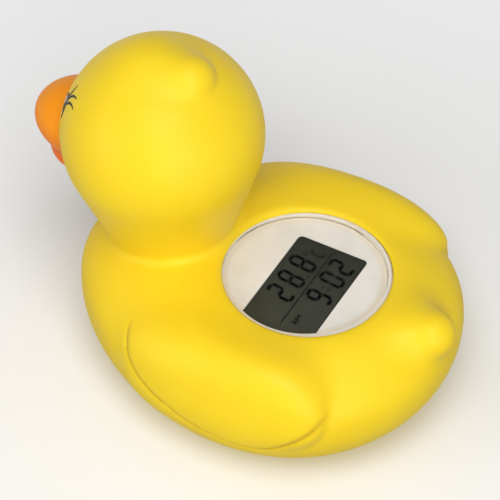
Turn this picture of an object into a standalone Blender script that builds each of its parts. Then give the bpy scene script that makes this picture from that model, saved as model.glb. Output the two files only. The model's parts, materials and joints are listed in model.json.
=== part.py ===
"""Baby bath thermometer: a hollow vinyl duck with a round thermometer and clock core in its back.

Metres, +Z up. The duck faces -Y and its left side is +X. The origin is on the floor, below the
middle of the duck's length. The core stands upright in the duck: its dial fills a round seat in
the back, and its underside closes a round hole in the base, where the water sensor, the battery
door and the two setting keys are reached. Places inside the core are given from the core's axis.
"""

import math

import bmesh
import bpy
import numpy as np
from mathutils import Matrix, Vector

MM = 0.001

# Fits
GAP = 0.3 * MM
SLIP = 0.2 * MM
REACH = 4.0 * MM

# Duck: the body is a flattened egg with its own upper and lower depth
BODY_HALF_LENGTH = 59.0 * MM
BODY_HALF_WIDTH = 49.1 * MM
BODY_HEIGHT = 24.0 * MM
BODY_RISE = 24.5 * MM
BODY_DEPTH = 30.0 * MM
BODY_AHEAD = 12.1 * MM
BODY_ROUND_PLAN = 2.01
BODY_ROUND_SIDE = 2.24
BODY_TAPER = 0.12
BODY_LIFT = 2.0 * MM
BASE_EDGE = 3.0 * MM
BASE_SINK = 0.8 * MM
BASE_MARGIN = 5.5 * MM
BASE_RISE = 2.5 * MM
BASE_BLEND = 5.0 * MM
WALL = 2.4 * MM
CAVITY_BLEND = 3.0 * MM
SEAT_RIM = 0.6 * MM

# Duck: wings, tail, head, crest and bill
WING_OUT = 37.6 * MM
WING_AHEAD = 5.8 * MM
WING_HEIGHT = 26.9 * MM
WING_RADII = (11.0 * MM, 34.0 * MM, 17.0 * MM)
WING_YAW = -0.5
WING_PITCH = 6.2
WING_ROLL = -7.0
WING_CREASE = 1.0 * MM
WING_FADE = 9.0 * MM
WING_ROUND = 2.3
TAIL_ROOT = (30.0 * MM, 28.0 * MM, 11.0 * MM)
TAIL_TIP = (42.4 * MM, 38.8 * MM, 6.7 * MM)
TAIL_BLEND = 8.0 * MM
TIP_CREASE = 1.2 * MM
HEAD_AHEAD = 47.1 * MM
HEAD_HEIGHT = 77.5 * MM
HEAD_RADIUS = 29.8 * MM
NECK_AHEAD = 45.4 * MM
NECK_HEIGHT = 52.6 * MM
NECK_RADIUS = 21.0 * MM
NECK_BLEND = 3.0 * MM
CREST_ROOT = (-50.5 * MM, 97.5 * MM, 10.5 * MM)
CREST_TIP = (-37.7 * MM, 103.5 * MM, 7.6 * MM)
CREST_BLEND = 8.0 * MM
BILL_AHEAD = 71.0 * MM
BILL_HEIGHT = 72.4 * MM
BILL_RADII = (14.0 * MM, 18.0 * MM, 11.2 * MM)
BILL_BLEND = 1.5 * MM
CHIN_AHEAD = 72.9 * MM
CHIN_HEIGHT = 62.0 * MM
CHIN_RADII = (10.5 * MM, 11.3 * MM, 7.4 * MM)
CHIN_BLEND = 1.0 * MM

# Skin mesh: cell of the remesh and triangles kept, outside and inside
SKIN_CELL = 1.6 * MM
SKIN_TRIANGLES = 2950
CAVITY_TRIANGLES = 780
ROUND = 40
SMALL_ROUND = 16
TINY_ROUND = 10

# Core: dial end
FLANGE_RADIUS = 26.0 * MM
FLANGE_THICKNESS = 4.0 * MM
NECK_OF_CORE_RADIUS = 24.2 * MM
SNAP_BEAD = 0.7 * MM
CORE_WALL = 1.5 * MM
DIAL_DROP = 6.0 * MM
DISH_LIP = 2.5 * MM
DISH_SLOPE = 0.25
DISH_BLEND = 5.0 * MM
LIP_BLEND = 2.0 * MM
MOUTH_RADIUS = 25.0 * MM
MOUTH_BEHIND = 0.9 * MM
LEDGE = 2.2 * MM
LENS_RADIUS = 24.4 * MM
LENS_FACE_RADIUS = 22.5 * MM
LENS_THICKNESS = 1.4 * MM
LENS_EDGE_DROP = 0.5 * MM
SHEET_THICKNESS = 0.3 * MM
WINDOW_AHEAD = 9.4 * MM
WINDOW_BEHIND = 13.5 * MM
WINDOW_RIGHT = 14.9 * MM
WINDOW_CORNER = 1.5 * MM
PANEL_MARGIN = 1.4 * MM
PANEL_THICKNESS = 2.0 * MM
PANEL_LIP = 1.0 * MM
STRIP_HEIGHT = 3.1 * MM
STRIP_WIDTH = 1.8 * MM
BOARD_THICKNESS = 1.6 * MM
BLOB_RADIUS = 4.5 * MM
BLOB_HEIGHT = 1.5 * MM
BOARD_SCREW_RING = 18.5 * MM
BOARD_SCREW_ANGLES = (68, 180, 292)

# Core: base end
BASE_RECESS = 2.7 * MM
COVER_RISE = 0.6 * MM
COVER_THICKNESS = 1.8 * MM
COVER_RADIUS = 22.8 * MM
SPIGOT_RADIUS = 19.6 * MM
SPIGOT_TOP = 12.0 * MM
SEAL_HEIGHT = 9.5 * MM
SEAL_CORD = 0.55 * MM
FOOT_RADIUS = 21.9 * MM
FOOT_THICKNESS = 1.8 * MM
SHOULDER_STEP = 2.1 * MM
COVER_SCREWS = ((9.6 * MM, 12.0 * MM), (-9.6 * MM, 12.0 * MM), (0.0, -14.4 * MM))
BOSS_WALL = 1.3 * MM
BOSS_TOP = 22.0 * MM

# Battery bay, two button cells side by side
CELL_RADIUS = 5.8 * MM
CELL_HEIGHT = 5.4 * MM
CELL_PITCH = 12.2 * MM
BAY_Y = 0.5 * MM
BAY_WALL = 1.2 * MM
DOOR_LIP = 1.3 * MM
DOOR_THICKNESS = 2.0 * MM
DOOR_PAD = 1.0 * MM
DOOR_SEAL = 0.8 * MM
DOOR_LUG_RADIUS = 2.9 * MM
STRIP_METAL = 0.3 * MM
TAIL_HALF = 1.2 * MM

# Setting keys
KEY_X = 7.4 * MM
KEY_Y = -12.4 * MM
KEY_RADIUS = 2.6 * MM
KEY_RECESS = 0.15 * MM
KEY_FLANGE = 0.8 * MM
KEY_SEAL = 0.6 * MM
KEY_TRAVEL = 0.5 * MM
KEY_BOARD_HEIGHT = 9.0 * MM
KEY_BOARD_THICKNESS = 1.2 * MM
SHELF_HALF = 3.4 * MM
SWITCH_SIDE = 4.4 * MM
SWITCH_HEIGHT = 2.4 * MM

# Water sensor
SENSOR_Y = 13.0 * MM
SENSOR_RADIUS = 3.0 * MM
SENSOR_WALL = 0.5 * MM
SENSOR_FLOOR = 0.3 * MM
SENSOR_FLANGE = 0.7 * MM
BEAD_RADIUS = 1.2 * MM

# Small screws
SCREW_HEAD_RADIUS = 1.9 * MM
SCREW_HEAD = 1.2 * MM
SCREW_SHANK = 1.05 * MM
LEAD_RADIUS = 0.6 * MM
LEAD_POINTS = 11

# Heights worked out from the sizes above
BODY_TOP = BODY_HEIGHT + BODY_RISE
DIAL_Z = BODY_TOP - DIAL_DROP
FLANGE_TOP = DIAL_Z + GAP
FLANGE_BOTTOM = FLANGE_TOP - FLANGE_THICKNESS
LEDGE_TOP = FLANGE_BOTTOM - GAP
LEDGE_BOTTOM = LEDGE_TOP - LEDGE
SEAT_RADIUS = FLANGE_RADIUS + GAP
SEAT_HOLE = NECK_OF_CORE_RADIUS + GAP
LENS_BOTTOM = DIAL_Z - LENS_THICKNESS
SHEET_BOTTOM = LENS_BOTTOM - GAP - SHEET_THICKNESS
SHELF = SHEET_BOTTOM - GAP
PANEL_TOP = SHEET_BOTTOM - GAP
PANEL_BOTTOM = PANEL_TOP - PANEL_THICKNESS
BOARD_TOP = PANEL_BOTTOM - STRIP_HEIGHT - 2 * GAP
BOARD_BOTTOM = BOARD_TOP - BOARD_THICKNESS
SHOULDER_Z = BOARD_BOTTOM - GAP
CORE_BORE = NECK_OF_CORE_RADIUS - CORE_WALL
FRAME_RADIUS = CORE_BORE - GAP
PANEL_RADIUS = FRAME_RADIUS - SLIP
COVER_TOP = COVER_RISE + COVER_THICKNESS
COVER_RECESS_RADIUS = COVER_RADIUS + GAP
BASE_HOLE = SPIGOT_RADIUS + GAP
FLOOR_TOP = BASE_RECESS + WALL
FOOT_BOTTOM = FLOOR_TOP + GAP
TUBE_BORE = SPIGOT_RADIUS + GAP
TUBE_RADIUS = TUBE_BORE + CORE_WALL
SPIGOT_BORE = SPIGOT_RADIUS - CORE_WALL
SEAL_RADIUS = TUBE_BORE - SLIP / 2 - SEAL_CORD
GROOVE_RADIUS = SEAL_RADIUS - SEAL_CORD - SLIP / 2
BAY_HALF_X = CELL_PITCH / 2 + CELL_RADIUS + GAP
BAY_HALF_Y = CELL_RADIUS + GAP
DOOR_HALF_X = BAY_HALF_X + DOOR_LIP
DOOR_HALF_Y = BAY_HALF_Y + DOOR_LIP
LUG_X = DOOR_HALF_X + DOOR_LUG_RADIUS / 2
DOOR_TOP = COVER_RISE + DOOR_THICKNESS
SEAL_TOP = DOOR_TOP + GAP + DOOR_SEAL
DOOR_POCKET_TOP = SEAL_TOP + GAP
BRIDGE_BOTTOM = DOOR_TOP + DOOR_PAD + GAP
CELL_BOTTOM = BRIDGE_BOTTOM + STRIP_METAL + GAP
CELL_TOP = CELL_BOTTOM + CELL_HEIGHT
CONTACT_BOTTOM = CELL_TOP + GAP
BAY_CEILING = CONTACT_BOTTOM + STRIP_METAL + GAP
BAY_TOP = BAY_CEILING + BAY_WALL
KEY_BOTTOM = COVER_RISE + KEY_RECESS
KEY_SEAL_TOP = COVER_TOP + GAP + KEY_SEAL
KEY_FLANGE_BOTTOM = KEY_SEAL_TOP + GAP
KEY_TOP = KEY_FLANGE_BOTTOM + KEY_FLANGE
SWITCH_BOTTOM = KEY_BOARD_HEIGHT - GAP - SWITCH_HEIGHT
PLUNGER_BOTTOM = KEY_TOP + KEY_TRAVEL + SLIP
SENSOR_BOTTOM = COVER_RISE / 2
SENSOR_FLANGE_TOP = COVER_TOP + GAP + SENSOR_FLANGE
SENSOR_BOSS_RADIUS = SENSOR_RADIUS + SENSOR_FLANGE + GAP
COVER_PAD = COVER_TOP + COVER_THICKNESS

# The duck's reach fore and aft, from the core's axis, puts the origin under its middle
REACH_AHEAD = BILL_AHEAD + BILL_RADII[1]
REACH_BEHIND = max(BODY_HALF_LENGTH - BODY_AHEAD, TAIL_TIP[0] + TAIL_TIP[2])
CORE_Y = (REACH_AHEAD - REACH_BEHIND) / 2

YELLOW = (0.93, 0.66, 0.035)
WHITE = (0.84, 0.82, 0.77)
GREEN = (0.05, 0.22, 0.09)
STEEL = (0.60, 0.61, 0.62)


def material(name, colour, roughness=0.45, metallic=0.0):
    made = bpy.data.materials.new(name)
    made.use_nodes = True
    shader = made.node_tree.nodes["Principled BSDF"]
    shader.inputs["Base Color"].default_value = (*colour, 1)
    shader.inputs["Roughness"].default_value = roughness
    shader.inputs["Metallic"].default_value = metallic
    made.diffuse_color = (*colour, 1)
    return made


def add(name, mesh, finish, place=(0, 0, 0)):
    """One named piece, shaded smooth with its true edges kept sharp."""
    piece = bpy.data.objects.new(name, mesh)
    bpy.context.collection.objects.link(piece)
    mesh.materials.clear()
    mesh.materials.append(finish)
    mesh.shade_smooth()
    mesh.set_sharp_from_angle(angle=math.radians(35))
    piece.location = place
    return piece


def cutter(name, mesh, place=(0, 0, 0)):
    """A guide that only cuts or joins: it is no piece of the object."""
    tool = bpy.data.objects.new(name, mesh)
    bpy.context.collection.objects.link(tool)
    tool.location = place
    tool.hide_render = True
    tool.display_type = "WIRE"
    return tool


def combine(piece, tools, operation="DIFFERENCE"):
    """Joins several tools to a piece, or cuts them all from it, in one exact step."""
    group = bpy.data.collections.new(f"{piece.name}_{operation.lower()}")
    for tool in tools:
        group.objects.link(tool)
    step = piece.modifiers.new(operation.title(), "BOOLEAN")
    step.operand_type = "COLLECTION"
    step.collection = group
    step.operation = operation
    step.solver = "EXACT"


def mesh_from(work, name):
    bmesh.ops.recalc_face_normals(work, faces=work.faces)
    mesh = bpy.data.meshes.new(name)
    work.to_mesh(mesh)
    work.free()
    return mesh


def turned(name, profile, steps=ROUND):
    """A solid of revolution about Z from (radius, height) points. It may start and end at radius 0."""
    work = bmesh.new()
    points = [work.verts.new((radius, 0, height)) for radius, height in profile]
    ends_on_axis = profile[0][0] == 0 and profile[-1][0] == 0
    pairs = list(zip(points, points[1:]))
    if not ends_on_axis:
        pairs.append((points[-1], points[0]))
    edges = [work.edges.new(pair) for pair in pairs]
    bmesh.ops.spin(work, geom=points + edges, axis=(0, 0, 1), cent=(0, 0, 0),
                   steps=steps, angle=2 * math.pi, use_duplicate=False)
    bmesh.ops.remove_doubles(work, verts=work.verts, dist=0.001 * MM)
    return mesh_from(work, name)


def disc(name, radius, low, high, steps=ROUND):
    return turned(name, [(0, low), (radius, low), (radius, high), (0, high)], steps)


def ring(name, inner, outer, low, high, steps=ROUND):
    return turned(name, [(inner, low), (outer, low), (outer, high), (inner, high)], steps)


def arc(centre, radius, start, end, steps):
    """Points on a circle between two angles in degrees."""
    angles = [math.radians(start + (end - start) * i / steps) for i in range(steps + 1)]
    return [(centre[0] + radius * math.cos(a), centre[1] + radius * math.sin(a)) for a in angles]


def circle(centre, radius, steps=SMALL_ROUND):
    return arc(centre, radius, 0, 360, steps)[:-1]


def rounded_box(half_x, half_y, corner, centre=(0, 0), steps=4):
    x, y = half_x - corner, half_y - corner
    outline = []
    for turn, (sx, sy) in enumerate(((1, 1), (-1, 1), (-1, -1), (1, -1))):
        outline += arc((centre[0] + sx * x, centre[1] + sy * y), corner, 90 * turn, 90 * turn + 90, steps)
    return outline


def plate(name, low, high, outline, holes=()):
    """A flat plate of any outline with holes right through it."""
    work = bmesh.new()
    edges = []
    for loop in (outline, *holes):
        points = [work.verts.new((x, y, low)) for x, y in loop]
        edges += [work.edges.new((a, b)) for a, b in zip(points, points[1:] + points[:1])]
    bmesh.ops.triangle_fill(work, use_beauty=True, use_dissolve=False, edges=edges)
    base = list(work.faces)
    lifted = bmesh.ops.extrude_face_region(work, geom=base, use_keep_orig=True)["geom"]
    moved = [item for item in lifted if isinstance(item, bmesh.types.BMVert)]
    bmesh.ops.translate(work, verts=moved, vec=(0, 0, high - low))
    return mesh_from(work, name)


def smooth_min(a, b, blend):
    share = np.clip(0.5 + 0.5 * (b - a) / blend, 0, 1)
    return b + (a - b) * share - blend * share * (1 - share)


def smooth_max(a, b, blend):
    return -smooth_min(-a, -b, blend)


def egg(points, radii, power=2.0):
    """Nearly the distance to an ellipsoid at the origin, blunter with a greater power."""
    radii = np.array(radii)
    share = np.abs(points) / radii
    scaled = (share**power).sum(axis=-1) ** (1 / power)
    slope = np.linalg.norm(share ** (power - 1) / radii, axis=-1)
    return (scaled - 1) * scaled ** (power - 1) / np.maximum(slope, 1e-9)


def cone_with_balls(points, root, tip):
    """Distance to the hull of two balls on the middle plane, each given as (y, z, radius)."""
    start = np.array([0, root[0], root[1]])
    along = np.array([0, tip[0], tip[1]]) - start
    length = np.linalg.norm(along)
    along /= length
    offset = points - start
    run = offset @ along
    side = np.linalg.norm(offset - run[..., None] * along, axis=-1)
    lean = (root[2] - tip[2]) / length
    near = np.clip((run - side * lean / math.sqrt(1 - lean * lean)) / length, 0, 1)
    radius = root[2] + (tip[2] - root[2]) * near
    return np.hypot(run - near * length, side) - radius


def with_tip(form, points, root, tip, blend):
    """A form with a tapered lump on it that melts in ahead and has a crease behind."""
    span = tip[0] + tip[2] - root[0]
    share = np.clip((points[..., 1] - root[0]) / span, 0, 1)
    return smooth_min(form, cone_with_balls(points, root, tip), blend + (TIP_CREASE - blend) * share)


def body_form(points):
    """The body: a superellipse in plan, flattened on top, that lifts a little at both ends."""
    y = points[..., 1] + BODY_AHEAD
    along = y / BODY_HALF_LENGTH
    height = points[..., 2] - BODY_HEIGHT - BODY_LIFT * along**2
    width = BODY_HALF_WIDTH * (1 + BODY_TAPER * along)
    depth = np.where(height > 0, BODY_RISE, BODY_DEPTH)
    x, y, z = (np.abs(v) + 1e-9 for v in (points[..., 0] / width, along, height / depth))
    plan = (x**BODY_ROUND_PLAN + y**BODY_ROUND_PLAN) ** (1 / BODY_ROUND_PLAN)
    level = (plan**BODY_ROUND_SIDE + z**BODY_ROUND_SIDE) ** (1 / BODY_ROUND_SIDE)
    share = (plan / level) ** (BODY_ROUND_SIDE - 1)
    slope_x = share * (x / plan) ** (BODY_ROUND_PLAN - 1) / width
    slope_y = share * (y / plan) ** (BODY_ROUND_PLAN - 1) / BODY_HALF_LENGTH
    slope_z = (z / level) ** (BODY_ROUND_SIDE - 1) / depth
    return (level - 1) / np.sqrt(slope_x**2 + slope_y**2 + slope_z**2)


def wing_turn():
    turns = ((WING_YAW, "Z"), (WING_PITCH, "X"), (WING_ROLL, "Y"))
    made = Matrix.Identity(3)
    for degrees, axis in turns:
        made = made @ Matrix.Rotation(math.radians(degrees), 3, axis)
    return made


def trunk_form(points):
    """Body, wings and tail, with the base, and the shallow dish in the back round the dial."""
    height = points[:, 2]
    in_wing = (points - np.array([WING_OUT, -WING_AHEAD, WING_HEIGHT])) @ np.array(wing_turn())
    fade = np.clip(in_wing[:, 2] / WING_RADII[2], 0, 1)
    blend = WING_CREASE + (WING_FADE - WING_CREASE) * fade * fade * (3 - 2 * fade)
    form = smooth_min(body_form(points), egg(in_wing, WING_RADII, WING_ROUND), blend)
    form = with_tip(form, points, TAIL_ROOT, TAIL_TIP, TAIL_BLEND)
    from_axis = np.hypot(points[:, 0], points[:, 1])
    base = np.maximum(from_axis - COVER_RECESS_RADIUS - BASE_MARGIN, height - BASE_RISE)
    form = smooth_max(smooth_min(form, base, BASE_BLEND), -(height + BASE_SINK), BASE_EDGE)
    from_axis = np.hypot(points[:, 0], points[:, 1] - MOUTH_BEHIND)
    dish = height - DIAL_Z - DISH_LIP - DISH_SLOPE * np.maximum(from_axis - MOUTH_RADIUS, 0)
    return smooth_max(form, dish, DISH_BLEND)


def head_form(points):
    head = (-HEAD_AHEAD, HEAD_HEIGHT, HEAD_RADIUS)
    neck = (-NECK_AHEAD, NECK_HEIGHT, NECK_RADIUS)
    form = with_tip(cone_with_balls(points, head, neck), points, CREST_ROOT, CREST_TIP, CREST_BLEND)
    bill = egg(points + np.array([0, BILL_AHEAD, -BILL_HEIGHT]), BILL_RADII)
    chin = egg(points + np.array([0, CHIN_AHEAD, -CHIN_HEIGHT]), CHIN_RADII)
    return smooth_min(smooth_min(form, bill, BILL_BLEND), chin, CHIN_BLEND)


def mirrored(points):
    return np.abs(points) * (1, 0, 0) + points * (0, 1, 1)


def duck_form(points):
    """How far each point lies outside the duck. Points are from the core's axis, on the floor."""
    points = mirrored(points)
    from_axis = np.hypot(points[:, 0], points[:, 1] - MOUTH_BEHIND)
    mouth = np.maximum(from_axis - MOUTH_RADIUS + GAP, DIAL_Z - points[:, 2])
    trunk = smooth_max(trunk_form(points), -mouth, LIP_BLEND)
    return smooth_min(trunk, head_form(points), NECK_BLEND)


def cavity_form(points):
    """The hollow: the duck's form, one wall in, kept off the seat and off the base recess."""
    points = mirrored(points)
    height = points[:, 2]
    from_axis = np.hypot(points[:, 0], points[:, 1])
    seat = np.maximum(from_axis - SEAT_RADIUS - WALL, LEDGE_BOTTOM - SEAT_RIM - height)
    floor = np.maximum(from_axis - COVER_RECESS_RADIUS - WALL, height - FLOOR_TOP - SEAT_RIM)
    trunk = smooth_max(trunk_form(points) + WALL, -seat, CAVITY_BLEND)
    trunk = smooth_max(trunk, -floor, CAVITY_BLEND)
    lip = np.maximum(seat, height - FLANGE_TOP - WALL)
    head = smooth_max(head_form(points) + WALL, -lip, CAVITY_BLEND)
    return smooth_min(trunk, head, NECK_BLEND)


def settle(points, form, rounds=6):
    """Moves points onto the surface where the form is zero."""
    step = 0.02 * MM
    for _ in range(rounds):
        value = form(points)
        slope = np.stack([(form(points + shift) - form(points - shift)) / (2 * step)
                          for shift in np.eye(3) * step], axis=1)
        size = np.maximum((slope**2).sum(axis=1), 0.2)
        points = points - np.clip(value / size, -REACH, REACH)[:, None] * slope
    return points


def evaluated(piece):
    bpy.context.view_layer.update()
    return bpy.data.meshes.new_from_object(piece.evaluated_get(bpy.context.evaluated_depsgraph_get()))


def refined(mesh, form, kind, **settings):
    """The mesh after one modifier, with its points settled on the form."""
    holder = cutter("form_guide", mesh)
    step = holder.modifiers.new("form", kind)
    for key, value in settings.items():
        setattr(step, key, value)
    made = evaluated(holder)
    bpy.data.objects.remove(holder)
    coordinates = np.empty(len(made.vertices) * 3)
    made.vertices.foreach_get("co", coordinates)
    made.vertices.foreach_set("co", settle(coordinates.reshape(-1, 3), form).ravel())
    made.update()
    return made


def form_mesh(name, form, shrink, triangles):
    """A closed mesh on the zero surface of a form, begun from balls that fill the duck's lumps."""
    lumps = [((0, -BODY_AHEAD, BODY_HEIGHT), (BODY_HALF_WIDTH, BODY_HALF_LENGTH, BODY_RISE)),
             ((0, -HEAD_AHEAD, HEAD_HEIGHT), (HEAD_RADIUS,) * 3),
             ((0, -NECK_AHEAD, NECK_HEIGHT), (NECK_RADIUS,) * 3),
             ((0, -BILL_AHEAD, BILL_HEIGHT), BILL_RADII),
             ((0, -CHIN_AHEAD, CHIN_HEIGHT), CHIN_RADII),
             ((WING_OUT, -WING_AHEAD, WING_HEIGHT), WING_RADII),
             ((-WING_OUT, -WING_AHEAD, WING_HEIGHT), WING_RADII)]
    lumps += [((0, y, z), (radius,) * 3) for y, z, radius in (TAIL_ROOT, TAIL_TIP, CREST_ROOT, CREST_TIP)]
    work = bmesh.new()
    for centre, radii in lumps:
        sized = Matrix.Diagonal((*(radius - shrink for radius in radii), 1))
        if min(radii) - shrink < SKIN_CELL:
            continue
        bmesh.ops.create_uvsphere(work, u_segments=32, v_segments=20, radius=1,
                                  matrix=Matrix.Translation(centre) @ sized)
    mesh = refined(mesh_from(work, name), form, "REMESH", mode="VOXEL", voxel_size=SKIN_CELL)
    mesh = refined(mesh, form, "REMESH", mode="VOXEL", voxel_size=SKIN_CELL)
    count = sum(len(face.vertices) - 2 for face in mesh.polygons)
    mesh = refined(mesh, form, "DECIMATE", ratio=triangles / count)
    mesh.name = name
    return mesh


def seat_cutter():
    """Cuts the round seat for the dial flange, and the ledge that the core snaps under."""
    low, top = LEDGE_BOTTOM - 2 * WALL, FLANGE_TOP + GAP
    return turned("seat", [(0, low), (SEAT_RADIUS, low), (SEAT_RADIUS, LEDGE_BOTTOM), (SEAT_HOLE, LEDGE_BOTTOM),
                           (SEAT_HOLE, LEDGE_TOP), (SEAT_RADIUS, LEDGE_TOP), (SEAT_RADIUS, top), (0, top)])


def mouth_cutter():
    """Cuts the lip's mouth, a little narrower than the seat and set back from the neck."""
    mesh = disc("mouth", MOUTH_RADIUS, FLANGE_TOP, BODY_TOP + WALL)
    mesh.transform(Matrix.Translation((0, MOUTH_BEHIND, 0)))
    return mesh


def base_cutter():
    """Cuts the flat base, the recess for the core's cover, the hole above it and the foot's seat."""
    wide = BODY_HALF_LENGTH * 2
    foot = FOOT_RADIUS + GAP
    return turned("base", [(0, -wide), (wide, -wide), (wide, 0), (COVER_RECESS_RADIUS, 0),
                           (COVER_RECESS_RADIUS, BASE_RECESS), (BASE_HOLE, BASE_RECESS), (BASE_HOLE, FLOOR_TOP),
                           (foot, FLOOR_TOP), (foot, FLOOR_TOP + WALL), (0, FLOOR_TOP + WALL)])


def duck_body(place):
    skin = material("vinyl_yellow", YELLOW, 0.42)
    body = add("duck_body", form_mesh("duck_body", duck_form, 0, SKIN_TRIANGLES), skin, place)
    hollow = form_mesh("cavity", cavity_form, WALL, CAVITY_TRIANGLES)
    combine(body, [cutter(mesh.name, mesh, place)
                   for mesh in (hollow, seat_cutter(), mouth_cutter(), base_cutter())])


def core_housing(place):
    """The white tube of the core: flange, neck with snap bead, shoulder, tapered tube and foot."""
    bead_top = LEDGE_BOTTOM - GAP
    bead = NECK_OF_CORE_RADIUS + SNAP_BEAD
    edge = 0.5 * MM
    profile = [
        (LENS_RADIUS + GAP, SHELF), (LENS_RADIUS + GAP, FLANGE_TOP), (FLANGE_RADIUS - edge, FLANGE_TOP),
        (FLANGE_RADIUS, FLANGE_TOP - edge), (FLANGE_RADIUS, FLANGE_BOTTOM),
        (NECK_OF_CORE_RADIUS, FLANGE_BOTTOM), (NECK_OF_CORE_RADIUS, bead_top), (bead, bead_top - edge),
        (bead, bead_top - 2 * edge), (NECK_OF_CORE_RADIUS, bead_top - 4 * edge),
        (NECK_OF_CORE_RADIUS, SHOULDER_Z - 2 * edge), (TUBE_RADIUS + CORE_WALL / 2, SHOULDER_Z - 8 * edge),
        (TUBE_RADIUS, FOOT_BOTTOM + FOOT_THICKNESS), (FOOT_RADIUS, FOOT_BOTTOM + FOOT_THICKNESS),
        (FOOT_RADIUS, FOOT_BOTTOM), (TUBE_BORE, FOOT_BOTTOM), (TUBE_BORE, SPIGOT_TOP),
        (CORE_BORE - SHOULDER_STEP, SHOULDER_Z), (CORE_BORE, SHOULDER_Z), (CORE_BORE, SHELF)]
    housing = add("core_housing", turned("core_housing", profile), material("abs_white", WHITE, 0.35), place)
    boss = SCREW_SHANK + BOSS_WALL
    low = COVER_PAD + GAP
    joins, cuts = [], []
    for number, (x, y) in enumerate(COVER_SCREWS):
        spot = (place[0] + x, place[1] + y, 0)
        away = math.hypot(x, y)
        joins.append(cutter(f"boss_{number}", disc("boss", boss, low, BOSS_TOP, SMALL_ROUND), spot))
        outline = [(away, -BOSS_WALL / 2), (TUBE_BORE + CORE_WALL / 2, -BOSS_WALL / 2),
                   (TUBE_BORE + CORE_WALL / 2, BOSS_WALL / 2), (away, BOSS_WALL / 2)]
        rib = cutter(f"rib_{number}", plate("rib", SPIGOT_TOP + 2 * GAP, BOSS_TOP - BOSS_WALL, outline), place)
        rib.rotation_euler.z = math.atan2(y, x)
        joins.append(rib)
        pilot = disc("pilot", SCREW_SHANK + SLIP, low - WALL, SPIGOT_TOP + WALL, TINY_ROUND)
        cuts.append(cutter(f"pilot_{number}", pilot, spot))
    combine(housing, joins, "UNION")
    combine(housing, cuts)


def lens(place):
    edge = DIAL_Z - LENS_EDGE_DROP
    profile = [(0, LENS_BOTTOM), (LENS_RADIUS, LENS_BOTTOM), (LENS_RADIUS, edge),
               (LENS_FACE_RADIUS, DIAL_Z), (0, DIAL_Z)]
    add("lens", turned("lens", profile), material("clear_window", (0.9, 0.93, 0.93), 0.05), place)


def window_outline(margin, radius, corner):
    """The display's window: a rectangle whose left end follows the round dial."""
    front = -(WINDOW_AHEAD + margin)
    back = WINDOW_BEHIND + margin
    right = -(WINDOW_RIGHT + margin)
    start = math.degrees(math.asin(front / radius))
    end = math.degrees(math.asin(back / radius))
    outline = arc((0, 0), radius, start, end, 10)
    outline += arc((right + corner, back - corner), corner, 90, 180, 4)
    outline += arc((right + corner, front + corner), corner, 180, 270, 4)
    return outline


def dial_sheet(place):
    mesh = plate("dial_sheet", SHEET_BOTTOM, SHEET_BOTTOM + SHEET_THICKNESS, circle((0, 0), LENS_RADIUS, ROUND),
                 [window_outline(0, LENS_FACE_RADIUS - SLIP, WINDOW_CORNER)])
    add("dial_sheet", mesh, material("printed_white", (0.86, 0.84, 0.80), 0.6), place)


def display_panel(place):
    outline = window_outline(PANEL_MARGIN, PANEL_RADIUS, SLIP)
    mesh = plate("display_panel", PANEL_BOTTOM, PANEL_TOP, outline)
    add("display_panel", mesh, material("display_glass", (0.06, 0.06, 0.05), 0.15), place)


def display_frame(place):
    """The white frame that holds the panel down on its contact strip and over the board."""
    holes = [circle(spot, SCREW_SHANK + SLIP, TINY_ROUND) for spot in board_screw_spots()]
    low = BOARD_TOP + GAP
    mesh = plate("display_frame", low, PANEL_TOP, circle((0, 0), FRAME_RADIUS, ROUND), holes)
    frame = add("display_frame", mesh, material("frame_white", WHITE, 0.5), place)
    pocket = window_outline(PANEL_MARGIN + GAP, FRAME_RADIUS + WALL, SLIP)
    bay = window_outline(PANEL_MARGIN - PANEL_LIP, FRAME_RADIUS - CORE_WALL, SLIP)
    combine(frame, [cutter("pocket", plate("pocket", PANEL_BOTTOM - GAP, PANEL_TOP + WALL, pocket), place),
                    cutter("strip_bay", plate("strip_bay", low - WALL, PANEL_TOP, bay), place)])


def contact_strip(place):
    """The striped rubber connector between the board and the back edge of the panel."""
    half = WINDOW_RIGHT - 2 * PANEL_LIP
    y = WINDOW_BEHIND - STRIP_WIDTH
    low = BOARD_TOP + GAP
    outline = rounded_box(half, STRIP_WIDTH / 2, SLIP, (0, y), 1)
    mesh = plate("contact_strip", low, low + STRIP_HEIGHT, outline)
    add("contact_strip", mesh, material("contact_rubber", (0.25, 0.25, 0.27), 0.7), place)


def board_screw_spots():
    angles = [math.radians(angle) for angle in BOARD_SCREW_ANGLES]
    return [(BOARD_SCREW_RING * math.cos(a), BOARD_SCREW_RING * math.sin(a)) for a in angles]


def circuit_board(place):
    holes = [circle(spot, SCREW_SHANK + SLIP, TINY_ROUND) for spot in board_screw_spots()]
    mesh = plate("circuit_board", BOARD_BOTTOM, BOARD_TOP, circle((0, 0), FRAME_RADIUS, ROUND), holes)
    add("circuit_board", mesh, material("board_green", GREEN, 0.5), place)
    add("chip_blob", turned("chip_blob", blob_profile(), SMALL_ROUND),
        material("epoxy_black", (0.02, 0.02, 0.02), 0.3), place)


def blob_profile():
    top = BOARD_BOTTOM - GAP
    dome = [(BLOB_RADIUS * math.cos(a), top - BLOB_HEIGHT * math.sin(a))
            for a in (math.radians(18 * i) for i in range(5))]
    return [(0, top)] + dome + [(0, top - BLOB_HEIGHT)]


def screw_mesh(name, head_bottom, length):
    """A pan-head screw that is driven upwards."""
    head_top = head_bottom + SCREW_HEAD
    bevel = SCREW_HEAD / 3
    return turned(name, [(0, head_bottom), (SCREW_HEAD_RADIUS - bevel, head_bottom),
                         (SCREW_HEAD_RADIUS, head_bottom + bevel), (SCREW_HEAD_RADIUS, head_top),
                         (SCREW_SHANK, head_top), (SCREW_SHANK, head_top + length),
                         (0, head_top + length + SCREW_SHANK / 2)], TINY_ROUND)


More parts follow.
